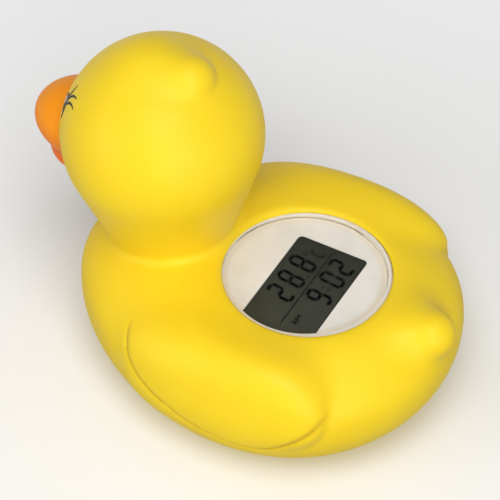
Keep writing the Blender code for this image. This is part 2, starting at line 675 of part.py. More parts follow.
def screw(name, spot, head_bottom, length, finish, place):
    where = (place[0] + spot[0], place[1] + spot[1], 0)
    made = add(name, screw_mesh(name, head_bottom, length), finish, where)
    half = SCREW_HEAD_RADIUS / 6
    depth = SCREW_HEAD / 2
    slot = plate("slot", head_bottom - depth, head_bottom + depth,
                 [(2 * SCREW_HEAD_RADIUS, half), (-2 * SCREW_HEAD_RADIUS, half),
                  (-2 * SCREW_HEAD_RADIUS, -half), (2 * SCREW_HEAD_RADIUS, -half)])
    combine(made, [cutter(f"{name}_slot", slot, where)])


def screws(place):
    steel = material("screw_steel", STEEL, 0.3, 1.0)
    board_length = BOARD_THICKNESS + STRIP_HEIGHT
    for number, spot in enumerate(board_screw_spots(), 1):
        screw(f"board_screw_{number}", spot, BOARD_BOTTOM - GAP - SCREW_HEAD, board_length, steel, place)
    cover_length = SPIGOT_TOP - COVER_TOP
    for number, spot in enumerate(COVER_SCREWS, 1):
        screw(f"cover_screw_{number}", spot, COVER_TOP - GAP - SCREW_HEAD, cover_length, steel, place)
    door_length = BAY_CEILING - DOOR_TOP
    screw("door_screw", (LUG_X, BAY_Y), COVER_RISE + GAP / 2, door_length, steel, place)


def door_outline(grow):
    """The door's outline: a rounded rectangle with a round lug for its screw."""
    half_x, half_y = DOOR_HALF_X + grow, DOOR_HALF_Y + grow
    lug = DOOR_LUG_RADIUS + grow
    corner = 2 * MM + grow
    left = rounded_box(half_x, half_y, corner, (0, BAY_Y))
    meet = math.degrees(math.acos((half_x - LUG_X) / lug)) if abs(half_x - LUG_X) < lug else 90
    tongue = arc((LUG_X, BAY_Y), lug, -meet, meet, 10)
    quarter = len(left) // 4
    return left[3 * quarter:] + tongue + left[:3 * quarter]


def battery_bay():
    """Solid walls of the battery bay, before its pocket and well are cut."""
    grow = BAY_WALL + GAP
    box = plate("bay_box", COVER_RISE + GAP, BAY_TOP,
                rounded_box(DOOR_HALF_X + grow, DOOR_HALF_Y + grow, 2 * MM, (0, BAY_Y)))
    lug = disc("bay_lug", DOOR_LUG_RADIUS + grow, COVER_RISE + GAP, BAY_TOP, SMALL_ROUND)
    return box, lug


def base_cover(place):
    """The core's underside: flange, spigot, battery bay, sensor boss, key holes and screw pads."""
    low, high = COVER_RISE, COVER_TOP
    edge = 0.4 * MM
    profile = [(0, low), (COVER_RADIUS - edge, low), (COVER_RADIUS, low + edge), (COVER_RADIUS, high),
               (SPIGOT_RADIUS, high), (SPIGOT_RADIUS, SPIGOT_TOP), (SPIGOT_BORE, SPIGOT_TOP),
               (SPIGOT_BORE, high), (0, high)]
    cover = add("base_cover", turned("base_cover", profile), material("cover_white", WHITE, 0.4), place)

    def at(x, y):
        return (place[0] + x, place[1] + y, 0)

    box, lug = battery_bay()
    boss = disc("sensor_boss", SENSOR_BOSS_RADIUS + BAY_WALL, low + GAP, SPIGOT_TOP, SMALL_ROUND)
    shelf_y = BAY_Y - DOOR_HALF_Y - GAP - BAY_WALL
    shelf = plate("key_shelf", low + GAP, KEY_BOARD_HEIGHT - GAP,
                  rounded_box(SHELF_HALF, BAY_WALL, SLIP, (0, shelf_y), 1))
    joins = [cutter("bay_box", box, place), cutter("bay_lug", lug, at(LUG_X, BAY_Y)),
             cutter("sensor_boss", boss, at(0, SENSOR_Y)), cutter("key_shelf", shelf, place)]
    pocket = plate("door_pocket", low - WALL, DOOR_POCKET_TOP, door_outline(GAP))
    well = plate("cell_well", low - WALL, BAY_CEILING, rounded_box(BAY_HALF_X, BAY_HALF_Y, 3 * MM, (0, BAY_Y)))
    pilot = disc("door_pilot", SCREW_SHANK + SLIP, low, BAY_CEILING + GAP, TINY_ROUND)
    bore = turned("sensor_bore", [(0, low - WALL), (SENSOR_RADIUS + SLIP, low - WALL),
                                  (SENSOR_RADIUS + SLIP, high), (SENSOR_BOSS_RADIUS, high),
                                  (SENSOR_BOSS_RADIUS, SPIGOT_TOP + WALL), (0, SPIGOT_TOP + WALL)],
                  SMALL_ROUND)
    side = SEAL_CORD + SLIP / 2
    groove = ring("groove", GROOVE_RADIUS, SPIGOT_RADIUS + WALL, SEAL_HEIGHT - side, SEAL_HEIGHT + side)
    cuts = [cutter("groove", groove, place),
            cutter("door_pocket", pocket, place), cutter("cell_well", well, place),
            cutter("door_pilot", pilot, at(LUG_X, BAY_Y)), cutter("sensor_bore", bore, at(0, SENSOR_Y))]
    shank, head = SCREW_SHANK + SLIP, SCREW_HEAD_RADIUS + GAP
    for number, spot in enumerate(COVER_SCREWS):
        pad = disc("pad", SCREW_HEAD_RADIUS + BAY_WALL, low + GAP, COVER_PAD, SMALL_ROUND)
        joins.append(cutter(f"pad_{number}", pad, at(*spot)))
        sink = turned("sink", [(0, low - WALL), (head, low - WALL), (head, COVER_TOP), (shank, COVER_TOP),
                               (shank, COVER_PAD + WALL), (0, COVER_PAD + WALL)], SMALL_ROUND)
        cuts.append(cutter(f"sink_{number}", sink, at(*spot)))
    for number, side in enumerate((-1, 1)):
        slot = plate("tail_slot", BAY_CEILING - GAP, BAY_TOP + WALL,
                     rounded_box(TAIL_HALF + GAP, STRIP_METAL / 2 + GAP, SLIP, (side * CELL_PITCH / 2, BAY_Y), 1))
        cuts.append(cutter(f"tail_slot_{number}", slot, place))
        hole = disc("key_hole", KEY_RADIUS + GAP, low - WALL, high + WALL, SMALL_ROUND)
        cuts.append(cutter(f"key_hole_{number}", hole, at(side * KEY_X, KEY_Y)))
    combine(cover, joins, "UNION")
    combine(cover, cuts)


def torus(name, radius, cord, height, steps=32, sides=6):
    angles = [2 * math.pi * (i + 0.5) / sides for i in range(sides)]
    section = [(radius + cord * math.cos(a), height + cord * math.sin(a)) for a in angles]
    return turned(name, section, steps)


def seals(place):
    rubber = material("seal_rubber", (0.04, 0.04, 0.045), 0.6)
    add("cover_seal", torus("cover_seal", SEAL_RADIUS, SEAL_CORD, SEAL_HEIGHT), rubber, place)
    silicone = material("silicone_grey", (0.45, 0.45, 0.46), 0.6)
    outer = rounded_box(DOOR_HALF_X, DOOR_HALF_Y, 2 * MM, (0, BAY_Y))
    inner = rounded_box(BAY_HALF_X + GAP / 2, BAY_HALF_Y + GAP / 2, 3 * MM, (0, BAY_Y))
    add("door_seal", plate("door_seal", DOOR_TOP + GAP, SEAL_TOP, outer, [inner]), silicone, place)
    low = COVER_TOP + GAP
    for number, side in enumerate((-1, 1), 1):
        washer = ring("key_seal", KEY_RADIUS + SLIP, KEY_RADIUS + KEY_FLANGE, low, KEY_SEAL_TOP, SMALL_ROUND)
        add(f"key_seal_{number}", washer, silicone, (place[0] + side * KEY_X, place[1] + KEY_Y, 0))


def battery_door(place):
    door = add("battery_door", plate("battery_door", COVER_RISE, DOOR_TOP, door_outline(0)),
               material("door_white", WHITE, 0.4), place)
    pad = plate("door_pad", DOOR_TOP - GAP, DOOR_TOP + DOOR_PAD,
                rounded_box(BAY_HALF_X - 2 * GAP, BAY_HALF_Y - 2 * GAP, 3 * MM, (0, BAY_Y)))
    combine(door, [cutter("door_pad", pad, place)], "UNION")
    bore, head = SCREW_SHANK + SLIP, SCREW_HEAD_RADIUS + SLIP
    seat = COVER_RISE + GAP / 2 + SCREW_HEAD + GAP / 2
    hole = turned("door_hole", [(0, -WALL), (head, -WALL), (head, seat), (bore, seat),
                                (bore, DOOR_TOP + WALL), (0, DOOR_TOP + WALL)], SMALL_ROUND)
    combine(door, [cutter("door_hole", hole, (place[0] + LUG_X, place[1] + BAY_Y, 0))])


def cells(place):
    steel = material("cell_steel", (0.66, 0.66, 0.67), 0.25, 1.0)
    edge = 0.4 * MM
    for number, side in enumerate((-1, 1), 1):
        name = f"button_cell_{number}"
        cap = CELL_RADIUS - 1.2 * MM
        step = CELL_HEIGHT / 6
        profile = [(0, CELL_BOTTOM), (CELL_RADIUS - edge, CELL_BOTTOM), (CELL_RADIUS, CELL_BOTTOM + edge),
                   (CELL_RADIUS, CELL_TOP - step), (cap, CELL_TOP - step), (cap, CELL_TOP), (0, CELL_TOP)]
        made = add(name, turned(name, profile, 20), steel, (place[0] + side * CELL_PITCH / 2, place[1] + BAY_Y, 0))
        if side > 0:
            made.data.transform(Matrix.Translation((0, 0, CELL_BOTTOM + CELL_TOP)) @ Matrix.Rotation(math.pi, 4, "X"))


def contacts(place):
    brass = material("contact_metal", (0.72, 0.60, 0.36), 0.3, 1.0)
    bridge = plate("contact_bridge", BRIDGE_BOTTOM, BRIDGE_BOTTOM + STRIP_METAL,
                   rounded_box(CELL_PITCH / 2 + CELL_RADIUS / 2, CELL_RADIUS / 2, 1 * MM, (0, BAY_Y)))
    add("contact_bridge", bridge, brass, place)
    for name, side in (("contact_minus", -1), ("contact_plus", 1)):
        x = side * CELL_PITCH / 2
        leaf = plate(name, CONTACT_BOTTOM, CONTACT_BOTTOM + STRIP_METAL,
                     rounded_box(CELL_RADIUS * 0.7, CELL_RADIUS / 2, 1 * MM, (x, BAY_Y)))
        made = add(name, leaf, brass, place)
        tail = plate("tail", CONTACT_BOTTOM + STRIP_METAL / 2, BAY_TOP + 2 * MM,
                     rounded_box(TAIL_HALF, STRIP_METAL / 2, STRIP_METAL / 4, (x, BAY_Y), 1))
        combine(made, [cutter(f"{name}_tail", tail, place)], "UNION")


def keys(place):
    """Each key is a stepped button whose flange holds it inside the cover."""
    profile = [(0, KEY_BOTTOM), (KEY_RADIUS - GAP, KEY_BOTTOM), (KEY_RADIUS, KEY_BOTTOM + GAP),
               (KEY_RADIUS, KEY_FLANGE_BOTTOM), (KEY_RADIUS + KEY_FLANGE, KEY_FLANGE_BOTTOM),
               (KEY_RADIUS + KEY_FLANGE, KEY_TOP), (0, KEY_TOP)]
    grey = material("key_grey", (0.30, 0.32, 0.34), 0.5)
    for name, side in (("mode_key", -1), ("set_key", 1)):
        add(name, turned(name, profile, 20), grey, (place[0] + side * KEY_X, place[1] + KEY_Y, 0))


def key_board(place):
    half_x, half_y = KEY_X + SWITCH_SIDE / 2 + GAP, SWITCH_SIDE / 2 + GAP
    y = KEY_Y
    low, high = KEY_BOARD_HEIGHT, KEY_BOARD_HEIGHT + KEY_BOARD_THICKNESS
    board = add("key_board", plate("key_board", low, high, rounded_box(half_x, half_y, 1 * MM, (0, y))),
                material("key_board_green", GREEN, 0.5), place)
    tongue = plate("key_tongue", low, high, rounded_box(SHELF_HALF, 1 * MM, SLIP, (0, y + half_y), 1))
    combine(board, [cutter("key_tongue", tongue, place)], "UNION")
    x, notch_y = COVER_SCREWS[2]
    notch = disc("board_notch", SCREW_SHANK + BOSS_WALL + 2 * GAP, low - WALL, high + WALL, SMALL_ROUND)
    combine(board, [cutter("board_notch", notch, (place[0] + x, place[1] + notch_y, 0))])
    black = material("switch_black", (0.03, 0.03, 0.03), 0.5)
    for number, side in enumerate((-1, 1), 1):
        name = f"key_switch_{number}"
        spot = (side * KEY_X, y)
        body = plate(name, SWITCH_BOTTOM, SWITCH_BOTTOM + SWITCH_HEIGHT,
                     rounded_box(SWITCH_SIDE / 2, SWITCH_SIDE / 2, SLIP, spot, 1))
        made = add(name, body, black, place)
        plunger = disc("plunger", KEY_RADIUS / 2, PLUNGER_BOTTOM, SWITCH_BOTTOM + GAP, TINY_ROUND)
        where = (place[0] + spot[0], place[1] + spot[1], 0)
        combine(made, [cutter(f"{name}_plunger", plunger, where)], "UNION")


def sensor(place):
    where = (place[0], place[1] + SENSOR_Y, 0)
    inner = SENSOR_RADIUS - SENSOR_WALL
    bend = 0.6 * MM
    flange = COVER_TOP + GAP
    profile = [(0, SENSOR_BOTTOM), (SENSOR_RADIUS - bend, SENSOR_BOTTOM), (SENSOR_RADIUS, SENSOR_BOTTOM + bend),
               (SENSOR_RADIUS, flange), (SENSOR_RADIUS + SENSOR_FLANGE, flange),
               (SENSOR_RADIUS + SENSOR_FLANGE, SENSOR_FLANGE_TOP), (inner, SENSOR_FLANGE_TOP),
               (inner, SENSOR_BOTTOM + SENSOR_FLOOR), (0, SENSOR_BOTTOM + SENSOR_FLOOR)]
    add("sensor_cap", turned("sensor_cap", profile, 20), material("sensor_steel", STEEL, 0.2, 1.0), where)
    centre = SENSOR_BOTTOM + SENSOR_FLOOR + GAP + BEAD_RADIUS
    bead = [(BEAD_RADIUS * math.cos(a), centre + BEAD_RADIUS * math.sin(a))
            for a in (math.radians(-67.5 + 22.5 * i) for i in range(7))]
    profile = [(0, centre - BEAD_RADIUS)] + bead + [(0, centre + BEAD_RADIUS)]
    add("thermistor", turned("thermistor", profile, 12), material("bead_glass", (0.35, 0.12, 0.05), 0.3), where)


def smooth_route(points, count):
    """Points along one smooth curve through a lead's own points."""
    points = [Vector(point) for point in points]
    padded = [2 * points[0] - points[1]] + points + [2 * points[-1] - points[-2]]
    spans = len(points) - 1
    made = []
    for i in range(count + 1):
        where = min(i * spans / count, spans - 1e-6)
        k = int(where)
        t = where - k
        a, b, c, d = padded[k:k + 4]
        made.append(0.5 * (2 * b + (c - a) * t + (2 * a - 5 * b + 4 * c - d) * t * t
                           + (3 * b - a - 3 * c + d) * t * t * t))
    return made


def lead(name, points, colour, place):
    curve = bpy.data.curves.new(name, "CURVE")
    curve.dimensions = "3D"
    route = smooth_route(points, LEAD_POINTS)
    spline = curve.splines.new("POLY")
    spline.points.add(len(route) - 1)
    for point, where in zip(spline.points, route):
        point.co = (*where, 1)
    curve.bevel_depth = LEAD_RADIUS
    curve.bevel_resolution = 2
    curve.use_fill_caps = True
    curve.materials.append(material(f"{name}_cover", colour, 0.5))
    piece = bpy.data.objects.new(name, curve)
    bpy.context.collection.objects.link(piece)
    piece.location = place


def leads(place):
    """Four leads run up the hollow tube from the base to the board."""
    board = BOARD_BOTTOM - GAP
    tail = BAY_TOP + 2 * MM + GAP
    cell = CELL_PITCH / 2
    bead = SENSOR_BOTTOM + SENSOR_FLOOR + 2 * GAP + 2 * BEAD_RADIUS
    middle = (tail + board) / 2
    key_top = KEY_BOARD_HEIGHT + KEY_BOARD_THICKNESS + GAP
    lead("sensor_lead", [(0, SENSOR_Y, bead), (0, SENSOR_Y, SPIGOT_TOP), (2 * MM, 9 * MM, middle),
                         (3 * MM, 10 * MM, board - 4 * MM), (3 * MM, 10 * MM, board)], (0.7, 0.7, 0.7), place)
    lead("battery_lead_minus", [(-cell, BAY_Y, tail), (-cell, BAY_Y, tail + 3 * MM), (-8 * MM, -3 * MM, middle),
                                (-9 * MM, -4 * MM, board - 4 * MM), (-9 * MM, -4 * MM, board)],
         (0.02, 0.02, 0.02), place)
    lead("battery_lead_plus", [(cell, BAY_Y, tail), (cell, BAY_Y, tail + 3 * MM), (9 * MM, -2 * MM, middle),
                               (10 * MM, 0, board - 4 * MM), (10 * MM, 0, board)], (0.6, 0.02, 0.02), place)
    lead("key_lead", [(4 * MM, KEY_Y, key_top), (4 * MM, KEY_Y, key_top + 4 * MM), (3 * MM, -11 * MM, middle),
                      (4 * MM, -12 * MM, board - 4 * MM), (4 * MM, -12 * MM, board)], (0.75, 0.72, 0.3), place)


def main():
    for item in list(bpy.data.objects):
        bpy.data.objects.remove(item)
    place = (0, CORE_Y, 0)
    duck_body(place)
    core_housing(place)
    lens(place)
    dial_sheet(place)
    display_panel(place)
    display_frame(place)
    contact_strip(place)
    circuit_board(place)
    base_cover(place)
    seals(place)
    battery_door(place)
    cells(place)
    contacts(place)
    keys(place)
    key_board(place)
    sensor(place)
    screws(place)
    leads(place)


main()
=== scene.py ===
"""Looks of the duck bath thermometer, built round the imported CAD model.

Metres, +Z up. The duck faces -Y and its left side is +X. The vinyl skin is made again from the
CAD skin's form, with a finer mesh, crest, tail and bill shaped a little closer to the photo, and the
moulded line under each wing. Bill and eyes are painted on it, and the display shows a clock row and
a temperature row. Every other CAD node keeps its shape and gets a finish.
"""

import json
import math

import bmesh
import bpy
import numpy as np
from mathutils import Matrix, Vector

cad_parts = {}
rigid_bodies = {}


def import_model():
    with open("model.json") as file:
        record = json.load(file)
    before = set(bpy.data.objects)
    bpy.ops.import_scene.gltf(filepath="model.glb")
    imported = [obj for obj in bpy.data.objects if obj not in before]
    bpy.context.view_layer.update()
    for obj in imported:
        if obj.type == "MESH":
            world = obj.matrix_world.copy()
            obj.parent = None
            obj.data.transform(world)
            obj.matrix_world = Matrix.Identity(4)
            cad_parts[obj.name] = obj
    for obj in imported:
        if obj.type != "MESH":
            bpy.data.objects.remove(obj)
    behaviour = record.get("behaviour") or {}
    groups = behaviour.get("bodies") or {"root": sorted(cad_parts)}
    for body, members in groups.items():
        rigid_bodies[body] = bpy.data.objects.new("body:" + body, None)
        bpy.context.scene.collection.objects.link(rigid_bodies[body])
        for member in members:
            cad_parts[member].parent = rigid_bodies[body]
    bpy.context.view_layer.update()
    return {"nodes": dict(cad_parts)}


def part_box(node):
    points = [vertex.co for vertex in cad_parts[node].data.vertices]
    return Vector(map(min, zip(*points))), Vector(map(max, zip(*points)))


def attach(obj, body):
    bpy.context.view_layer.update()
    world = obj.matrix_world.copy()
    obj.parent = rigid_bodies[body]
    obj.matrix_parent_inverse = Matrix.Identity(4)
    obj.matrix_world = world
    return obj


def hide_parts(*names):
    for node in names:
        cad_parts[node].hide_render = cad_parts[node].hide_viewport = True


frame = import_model()
NODES = frame["nodes"]

MM = 0.001
GAP = 0.3 * MM

# Places that the frame gives
LENS_LOW, LENS_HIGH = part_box("lens")
PANEL_LOW, PANEL_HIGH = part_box("display_panel")
COVER_LOW, COVER_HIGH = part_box("base_cover")
HOUSING_LOW, HOUSING_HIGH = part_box("core_housing")
CORE = Vector(((LENS_LOW.x + LENS_HIGH.x) / 2, (LENS_LOW.y + LENS_HIGH.y) / 2, 0))
DIAL_Z = LENS_HIGH.z
FLANGE_TOP = HOUSING_HIGH.z
FLANGE_RADIUS = (HOUSING_HIGH.x - HOUSING_LOW.x) / 2
COVER_RADIUS = (COVER_HIGH.x - COVER_LOW.x) / 2

# Duck: body
BODY_HALF_LENGTH = 59.0 * MM
BODY_HALF_WIDTH = 49.1 * MM
BODY_HEIGHT = 24.0 * MM
BODY_RISE = 24.5 * MM
BODY_DEPTH = 30.0 * MM
BODY_AHEAD = 12.1 * MM
BODY_ROUND_PLAN = 2.01
BODY_ROUND_SIDE = 2.24
BODY_TAPER = 0.12
BODY_LIFT = 2.0 * MM
BODY_TOP = BODY_HEIGHT + BODY_RISE
BASE_EDGE = 3.0 * MM
BASE_SINK = 0.8 * MM
BASE_MARGIN = 5.5 * MM
BASE_RISE = 2.5 * MM
BASE_BLEND = 5.0 * MM
WALL = 2.4 * MM
CAVITY_BLEND = 3.0 * MM
SEAT_RIM = 0.6 * MM

# Duck: wings, tail, head, crest and bill
WING_OUT = 37.6 * MM
WING_AHEAD = 5.8 * MM
WING_HEIGHT = 26.9 * MM
WING_RADII = (11.0 * MM, 34.0 * MM, 17.0 * MM)
WING_YAW = -0.5
WING_PITCH = 6.2
WING_ROLL = -7.0
WING_CREASE = 1.0 * MM
WING_FADE = 9.0 * MM
WING_ROUND = 2.3
WING_LINE = ((-37.4, 38.0), (-36.4, 33.4), (-34.4, 28.8), (-30.0, 25.2), (-22.0, 21.9), (-12.0, 18.7),
             (0.0, 16.4), (8.0, 15.9), (14.0, 18.2), (20.5, 23.8), (25.6, 28.6), (27.4, 32.4))
WING_GROOVE = 0.55 * MM
WING_GROOVE_HALF = 0.75 * MM
WING_STEP = 0.5 * MM
WING_STEP_FADE = 5.0 * MM
WING_INNER = 30.0 * MM
WING_LINE_ENDS = 7
TAIL_ROOT = (30.0 * MM, 31.0 * MM, 11.5 * MM)
TAIL_TIP = (41.6 * MM, 38.5 * MM, 7.3 * MM)
TAIL_BLEND = 8.0 * MM
TAIL_LATE = 2.5
TIP_CREASE = 1.2 * MM
HEAD_AHEAD = 47.1 * MM
HEAD_HEIGHT = 77.5 * MM
HEAD_RADIUS = 29.8 * MM
NECK_AHEAD = 45.4 * MM
NECK_HEIGHT = 52.6 * MM
NECK_RADIUS = 21.0 * MM
NECK_BLEND = 3.0 * MM
CREST_ROOT = (-50.5 * MM, 97.5 * MM, 10.5 * MM)
CREST_TIP = (-38.0 * MM, 102.6 * MM, 7.7 * MM)
CREST_BLEND = 8.0 * MM
BILL_AHEAD = 71.0 * MM
BILL_HEIGHT = 72.4 * MM
BILL_RADII = (14.0 * MM, 17.9 * MM, 11.2 * MM)
BILL_BLEND = 1.5 * MM
CHIN_AHEAD = 72.9 * MM
CHIN_HEIGHT = 62.0 * MM
CHIN_RADII = (10.5 * MM, 11.3 * MM, 7.4 * MM)
CHIN_BLEND = 3.0 * MM

# Duck: seat for the core
DISH_LIP = 2.5 * MM
DISH_SLOPE = 0.25
DISH_BLEND = 5.0 * MM
LIP_BLEND = 2.0 * MM
MOUTH_RADIUS = 25.0 * MM
MOUTH_BEHIND = 0.9 * MM
SEAT_RADIUS = FLANGE_RADIUS + GAP
SEAT_HOLE = 24.5 * MM
FLANGE_THICKNESS = 4.0 * MM
LEDGE = 2.2 * MM
LEDGE_TOP = FLANGE_TOP - FLANGE_THICKNESS - GAP
LEDGE_BOTTOM = LEDGE_TOP - LEDGE
BASE_RECESS = 2.7 * MM
BASE_HOLE = 19.9 * MM
FOOT_RADIUS = 22.2 * MM
LENS_FACE_RADIUS = 22.5 * MM
COVER_RECESS_RADIUS = COVER_RADIUS + GAP
FLOOR_TOP = BASE_RECESS + WALL

# Meshing of the form
COARSE_CELL = 1.8 * MM
FINE_CELL = 0.9 * MM
CAVITY_CELL = 2.4 * MM
REACH = 4.0 * MM
SLOPE_STEP = 0.02 * MM
LEAST_SLOPE = 0.2
BALL_STEPS = (32, 20)
TURN_STEPS = 128
SHARP_ANGLE = 40

# Painted eyes: centre of the left one on the head, and its shapes in millimetres along the skin
EYE_CENTRE = Vector((11.2, -26.1, 8.6)) * MM
EYE_RADII = (3.4, 4.6)
EYE_LASHES = (((0.5, 4.2), (1.4, 7.4), (0.7, 10.4)), ((1.5, 3.8), (2.4, 8.4), (6.2, 10.0)),
              ((2.4, 2.8), (4.0, 6.8), (8.4, 7.6)))
LASH_WIDTHS = (0.95, 0.85, 0.4)
EYE_GLINTS = (((-0.9, 1.7), 1.15), ((0.9, -2.0), 0.5))
PAINT = 0.06 * MM
GLINT = 0.1 * MM

# Display: rows in millimetres on the panel, right and down as the reader sees them
DIGIT_SLANT = 0.105
DIGIT_GAP = 0.12
BAR = 1.15
TEMPERATURE_ROW = dict(text="28.8", left=(-10.8, -4.4, 2.6), top=-7.9, height=9.1, width=4.3)
CLOCK_ROW = dict(text="902", left=(-7.0, 1.1, 6.7), top=3.1, height=8.4, width=4.3)
SEGMENTS = {"0": "abcdef", "2": "abged", "8": "abcdefg", "9": "abcdfg"}
POINT_AT = (1.1, 0.8)
COLON_AT = ((-0.5, 6.4), (-0.5, 8.3))
DOT = 0.75
DIVIDER = ((-19.0, 2.4), (13.6, 2.4), 0.3)
DEGREE_AT = (9.0, -4.4)
DEGREE_RADIUS = 0.55
UNIT_LEFT, UNIT_TOP, UNIT_HEIGHT, UNIT_WIDTH, UNIT_BAR = 9.6, -3.8, 4.9, 2.3, 0.55
HALF_DAY = (((-17.5, 6.9), (-16.7, 4.9), (-15.9, 6.9)), ((-17.2, 6.2), (-16.2, 6.2)),
            ((-15.4, 6.9), (-15.4, 4.9), (-14.5, 6.2), (-13.6, 4.9), (-13.6, 6.9)))
HALF_DAY_BAR = 0.32
INK_LIFT = 0.03 * MM
INK = 0.06 * MM

# Colours, linear, as (red, green, blue)
YELLOW_LOW, YELLOW_HIGH = (0.91, 0.625, 0.014), (0.94, 0.66, 0.018)
# Painted shade: darker yellow for the crease along the moulded line under each wing
YELLOW_CREASE_SHADE = (0.6, 0.32, 0.004)
ORANGE_LOW, ORANGE_HIGH = (0.96, 0.16, 0.001), (0.97, 0.31, 0.002)
# Painted shade: darker orange for the crease where the bill meets the chin
ORANGE_MOUTH_SHADE = (0.8, 0.13, 0.001)
EYE_PAINT, GLINT_PAINT = (0.006, 0.004, 0.003), (0.85, 0.85, 0.83)
WHITE, WHITE_COVER, WHITE_SHEET = (0.8, 0.75, 0.67), (0.8, 0.77, 0.71), (0.87, 0.85, 0.83)
CLEAR_LOW, CLEAR_HIGH = (0.985, 0.98, 0.965), (0.995, 0.995, 0.985)
CLEAR_STRAIGHT = (0.97, 0.965, 0.95)
# Painted reflection: the lens rim's warm tint stands in for the yellow vinyl reflected in it
LENS_RIM_WARM_REFLECTION = (0.95, 0.9, 0.8)
# Painted shade: the display glass runs from shaded at the reader's right to lit at the left
PANEL_SHADED, PANEL_LIT = (0.03, 0.033, 0.026), (0.058, 0.061, 0.048)
INK_COLOUR = (0.0008, 0.0008, 0.001)
BOARD_LOW, BOARD_HIGH = (0.014, 0.09, 0.03), (0.018, 0.11, 0.036)
BOARD_TRACK, BOARD_WEAVE = (0.04, 0.2, 0.07), (0.05, 0.24, 0.08)
STRIPE_BLACK, STRIPE_PALE = (0.02, 0.02, 0.022), (0.42, 0.4, 0.37)
STEEL, SWITCH_TIN, CONTACT_NICKEL = (0.6, 0.6, 0.59), (0.62, 0.6, 0.55), (0.66, 0.62, 0.52)
FLOOR = (0.6, 0.6, 0.6)
FLOOR_SHOWN = (0.98, 0.98, 0.98)

# Moulded finishes: name, the nodes that wear it, colour, roughness, grain and its depth in millimetres
MOULDED = (
    ("cover_plastic", ("base_cover", "battery_door"), WHITE_COVER, 0.5, 0.35, 0.02),
    ("dial_print", ("dial_sheet",), WHITE_SHEET, 0.55, 0.25, 0.006),
    ("frame_plastic", ("display_frame",), (0.72, 0.72, 0.7), 0.5, 0.5, 0.012),
    ("chip_epoxy", ("chip_blob",), (0.012, 0.012, 0.013), 0.22, 2.0, 0.06),
    ("seal_rubber", ("cover_seal", "door_seal", "key_seal_1", "key_seal_2"), (0.05, 0.05, 0.052), 0.62, 0.4,
     0.02),
    ("key_rubber", ("mode_key", "set_key"), (0.36, 0.38, 0.4), 0.58, 0.3, 0.02),
    ("bead_epoxy", ("thermistor",), (0.03, 0.012, 0.01), 0.3, 0.6, 0.03),
    ("lead_red", ("battery_lead_plus",), (0.5, 0.015, 0.012), 0.42, 0.4, 0.01),
    ("lead_black", ("battery_lead_minus", "key_lead"), (0.02, 0.02, 0.022), 0.42, 0.4, 0.01),
    ("lead_white", ("sensor_lead",), (0.7, 0.69, 0.66), 0.42, 0.4, 0.01))

# Vinyl: its flow marks, satin patches, slow waves and fine grain, the painted shade in the wing crease and
# the mouth, and the two sprayed colours of the bill
VINYL_FLOW, VINYL_PATCH, VINYL_WAVE, VINYL_GRAIN = 26 * MM, 6 * MM, 18 * MM, 0.45 * MM
VINYL_WAVE_DEPTH, VINYL_GRAIN_DEPTH = 0.05 * MM, 0.006 * MM
VINYL_ROUGHNESS = (0.4, 0.5)
# Painted shade: how far the yellow darkens along the line under the wing
CREASE_SHADE = 0.6
SPRAY_PATCH, SPRAY_ABOVE = 2.2 * MM, 4.0 * MM
BILL_EDGE_PATCH, BILL_EDGE = 1.5 * MM, (-0.1, 0.2)
# Painted shade: how far from the crease between bill and chin the orange darkens, in millimetres
MOUTH_SHADE_SOFT = 1.1
UNEVEN = 0.12

# Window and display: haze, patches, waves and grain
WINDOW_IOR = 1.09
WINDOW_HAZE, WINDOW_PATCH, WINDOW_WAVE, WINDOW_WAVE_DEPTH = 7 * MM, 3 * MM, 14 * MM, 0.004 * MM
WINDOW_ROUGHNESS = (0.03, 0.09)
LENS_RIM_EDGE, LENS_RIM_SATIN = 0.2 * MM, 0.08
PANEL_PATCH, PANEL_SATIN, PANEL_GRAIN, PANEL_GRAIN_DEPTH = 8 * MM, 0.3 * MM, 0.25 * MM, 0.002 * MM
PANEL_ROUGHNESS = (0.12, 0.22)

# Other finishes: flow and patches in moulded plastic, lines and patches in metal, paint's grain, patterns
MOULD_FLOW, MOULD_PATCH = 9 * MM, 4 * MM
METAL_LINE, METAL_PATCH, METAL_LINE_DEPTH = 1.6 * MM, 2.5 * MM, 0.01 * MM
PAINT_GRAIN, PAINT_GRAIN_DEPTH, INK_GRAIN_DEPTH = 0.3 * MM, 0.004 * MM, 0.002 * MM
BOARD_WEAVE_SIZE, BOARD_TRACK_DEPTH = 0.5 * MM, 0.03 * MM
STRIPE_DEPTH = 0.02 * MM
RING_MARK, RING_DEPTH = 1.2 * MM, 0.008 * MM
TRACK_SCALE, STRIPE_SCALE, RING_SCALE = 190.0, 600.0, 900.0
CELL_ROUGHNESS, SCREW_ROUGHNESS = 0.26, 0.33
PAPER_CLOUD, PAPER_GRAIN, PAPER_GRAIN_DEPTH = 0.3, 1.2 * MM, 0.01 * MM

# Lamps: name, azimuth and elevation of where it stands, size across in metres and power in watts
LAMPS = (("key", 118, 62, 0.7, 5.4), ("fill", 134, 18, 0.9, 5.8), ("side", 55, 18, 0.9, 3.0))
LAMP_DISTANCE = 1.1
AIR = 0.34
BACKDROP = 0.93
FLOOR_RADIUS = 1.0
FLOOR_FADE = (0.1, 0.3)
FLOOR_SINK = 0.05 * MM

# Camera: where it stands round the dial, and how far its picture is shifted
VIEW_AZIMUTH, VIEW_ELEVATION = 119.0, 46.0
VIEW_DISTANCE = 1.0
VIEW_RIGHT, VIEW_UP = -15.9 * MM, 7.0 * MM
LENS_LENGTH = 246.1
SENSOR_WIDTH = 36.0


def smooth_min(a, b, blend):
    share = np.clip(0.5 + 0.5 * (b - a) / blend, 0, 1)
    return b + (a - b) * share - blend * share * (1 - share)


def smooth_max(a, b, blend):
    return -smooth_min(-a, -b, blend)


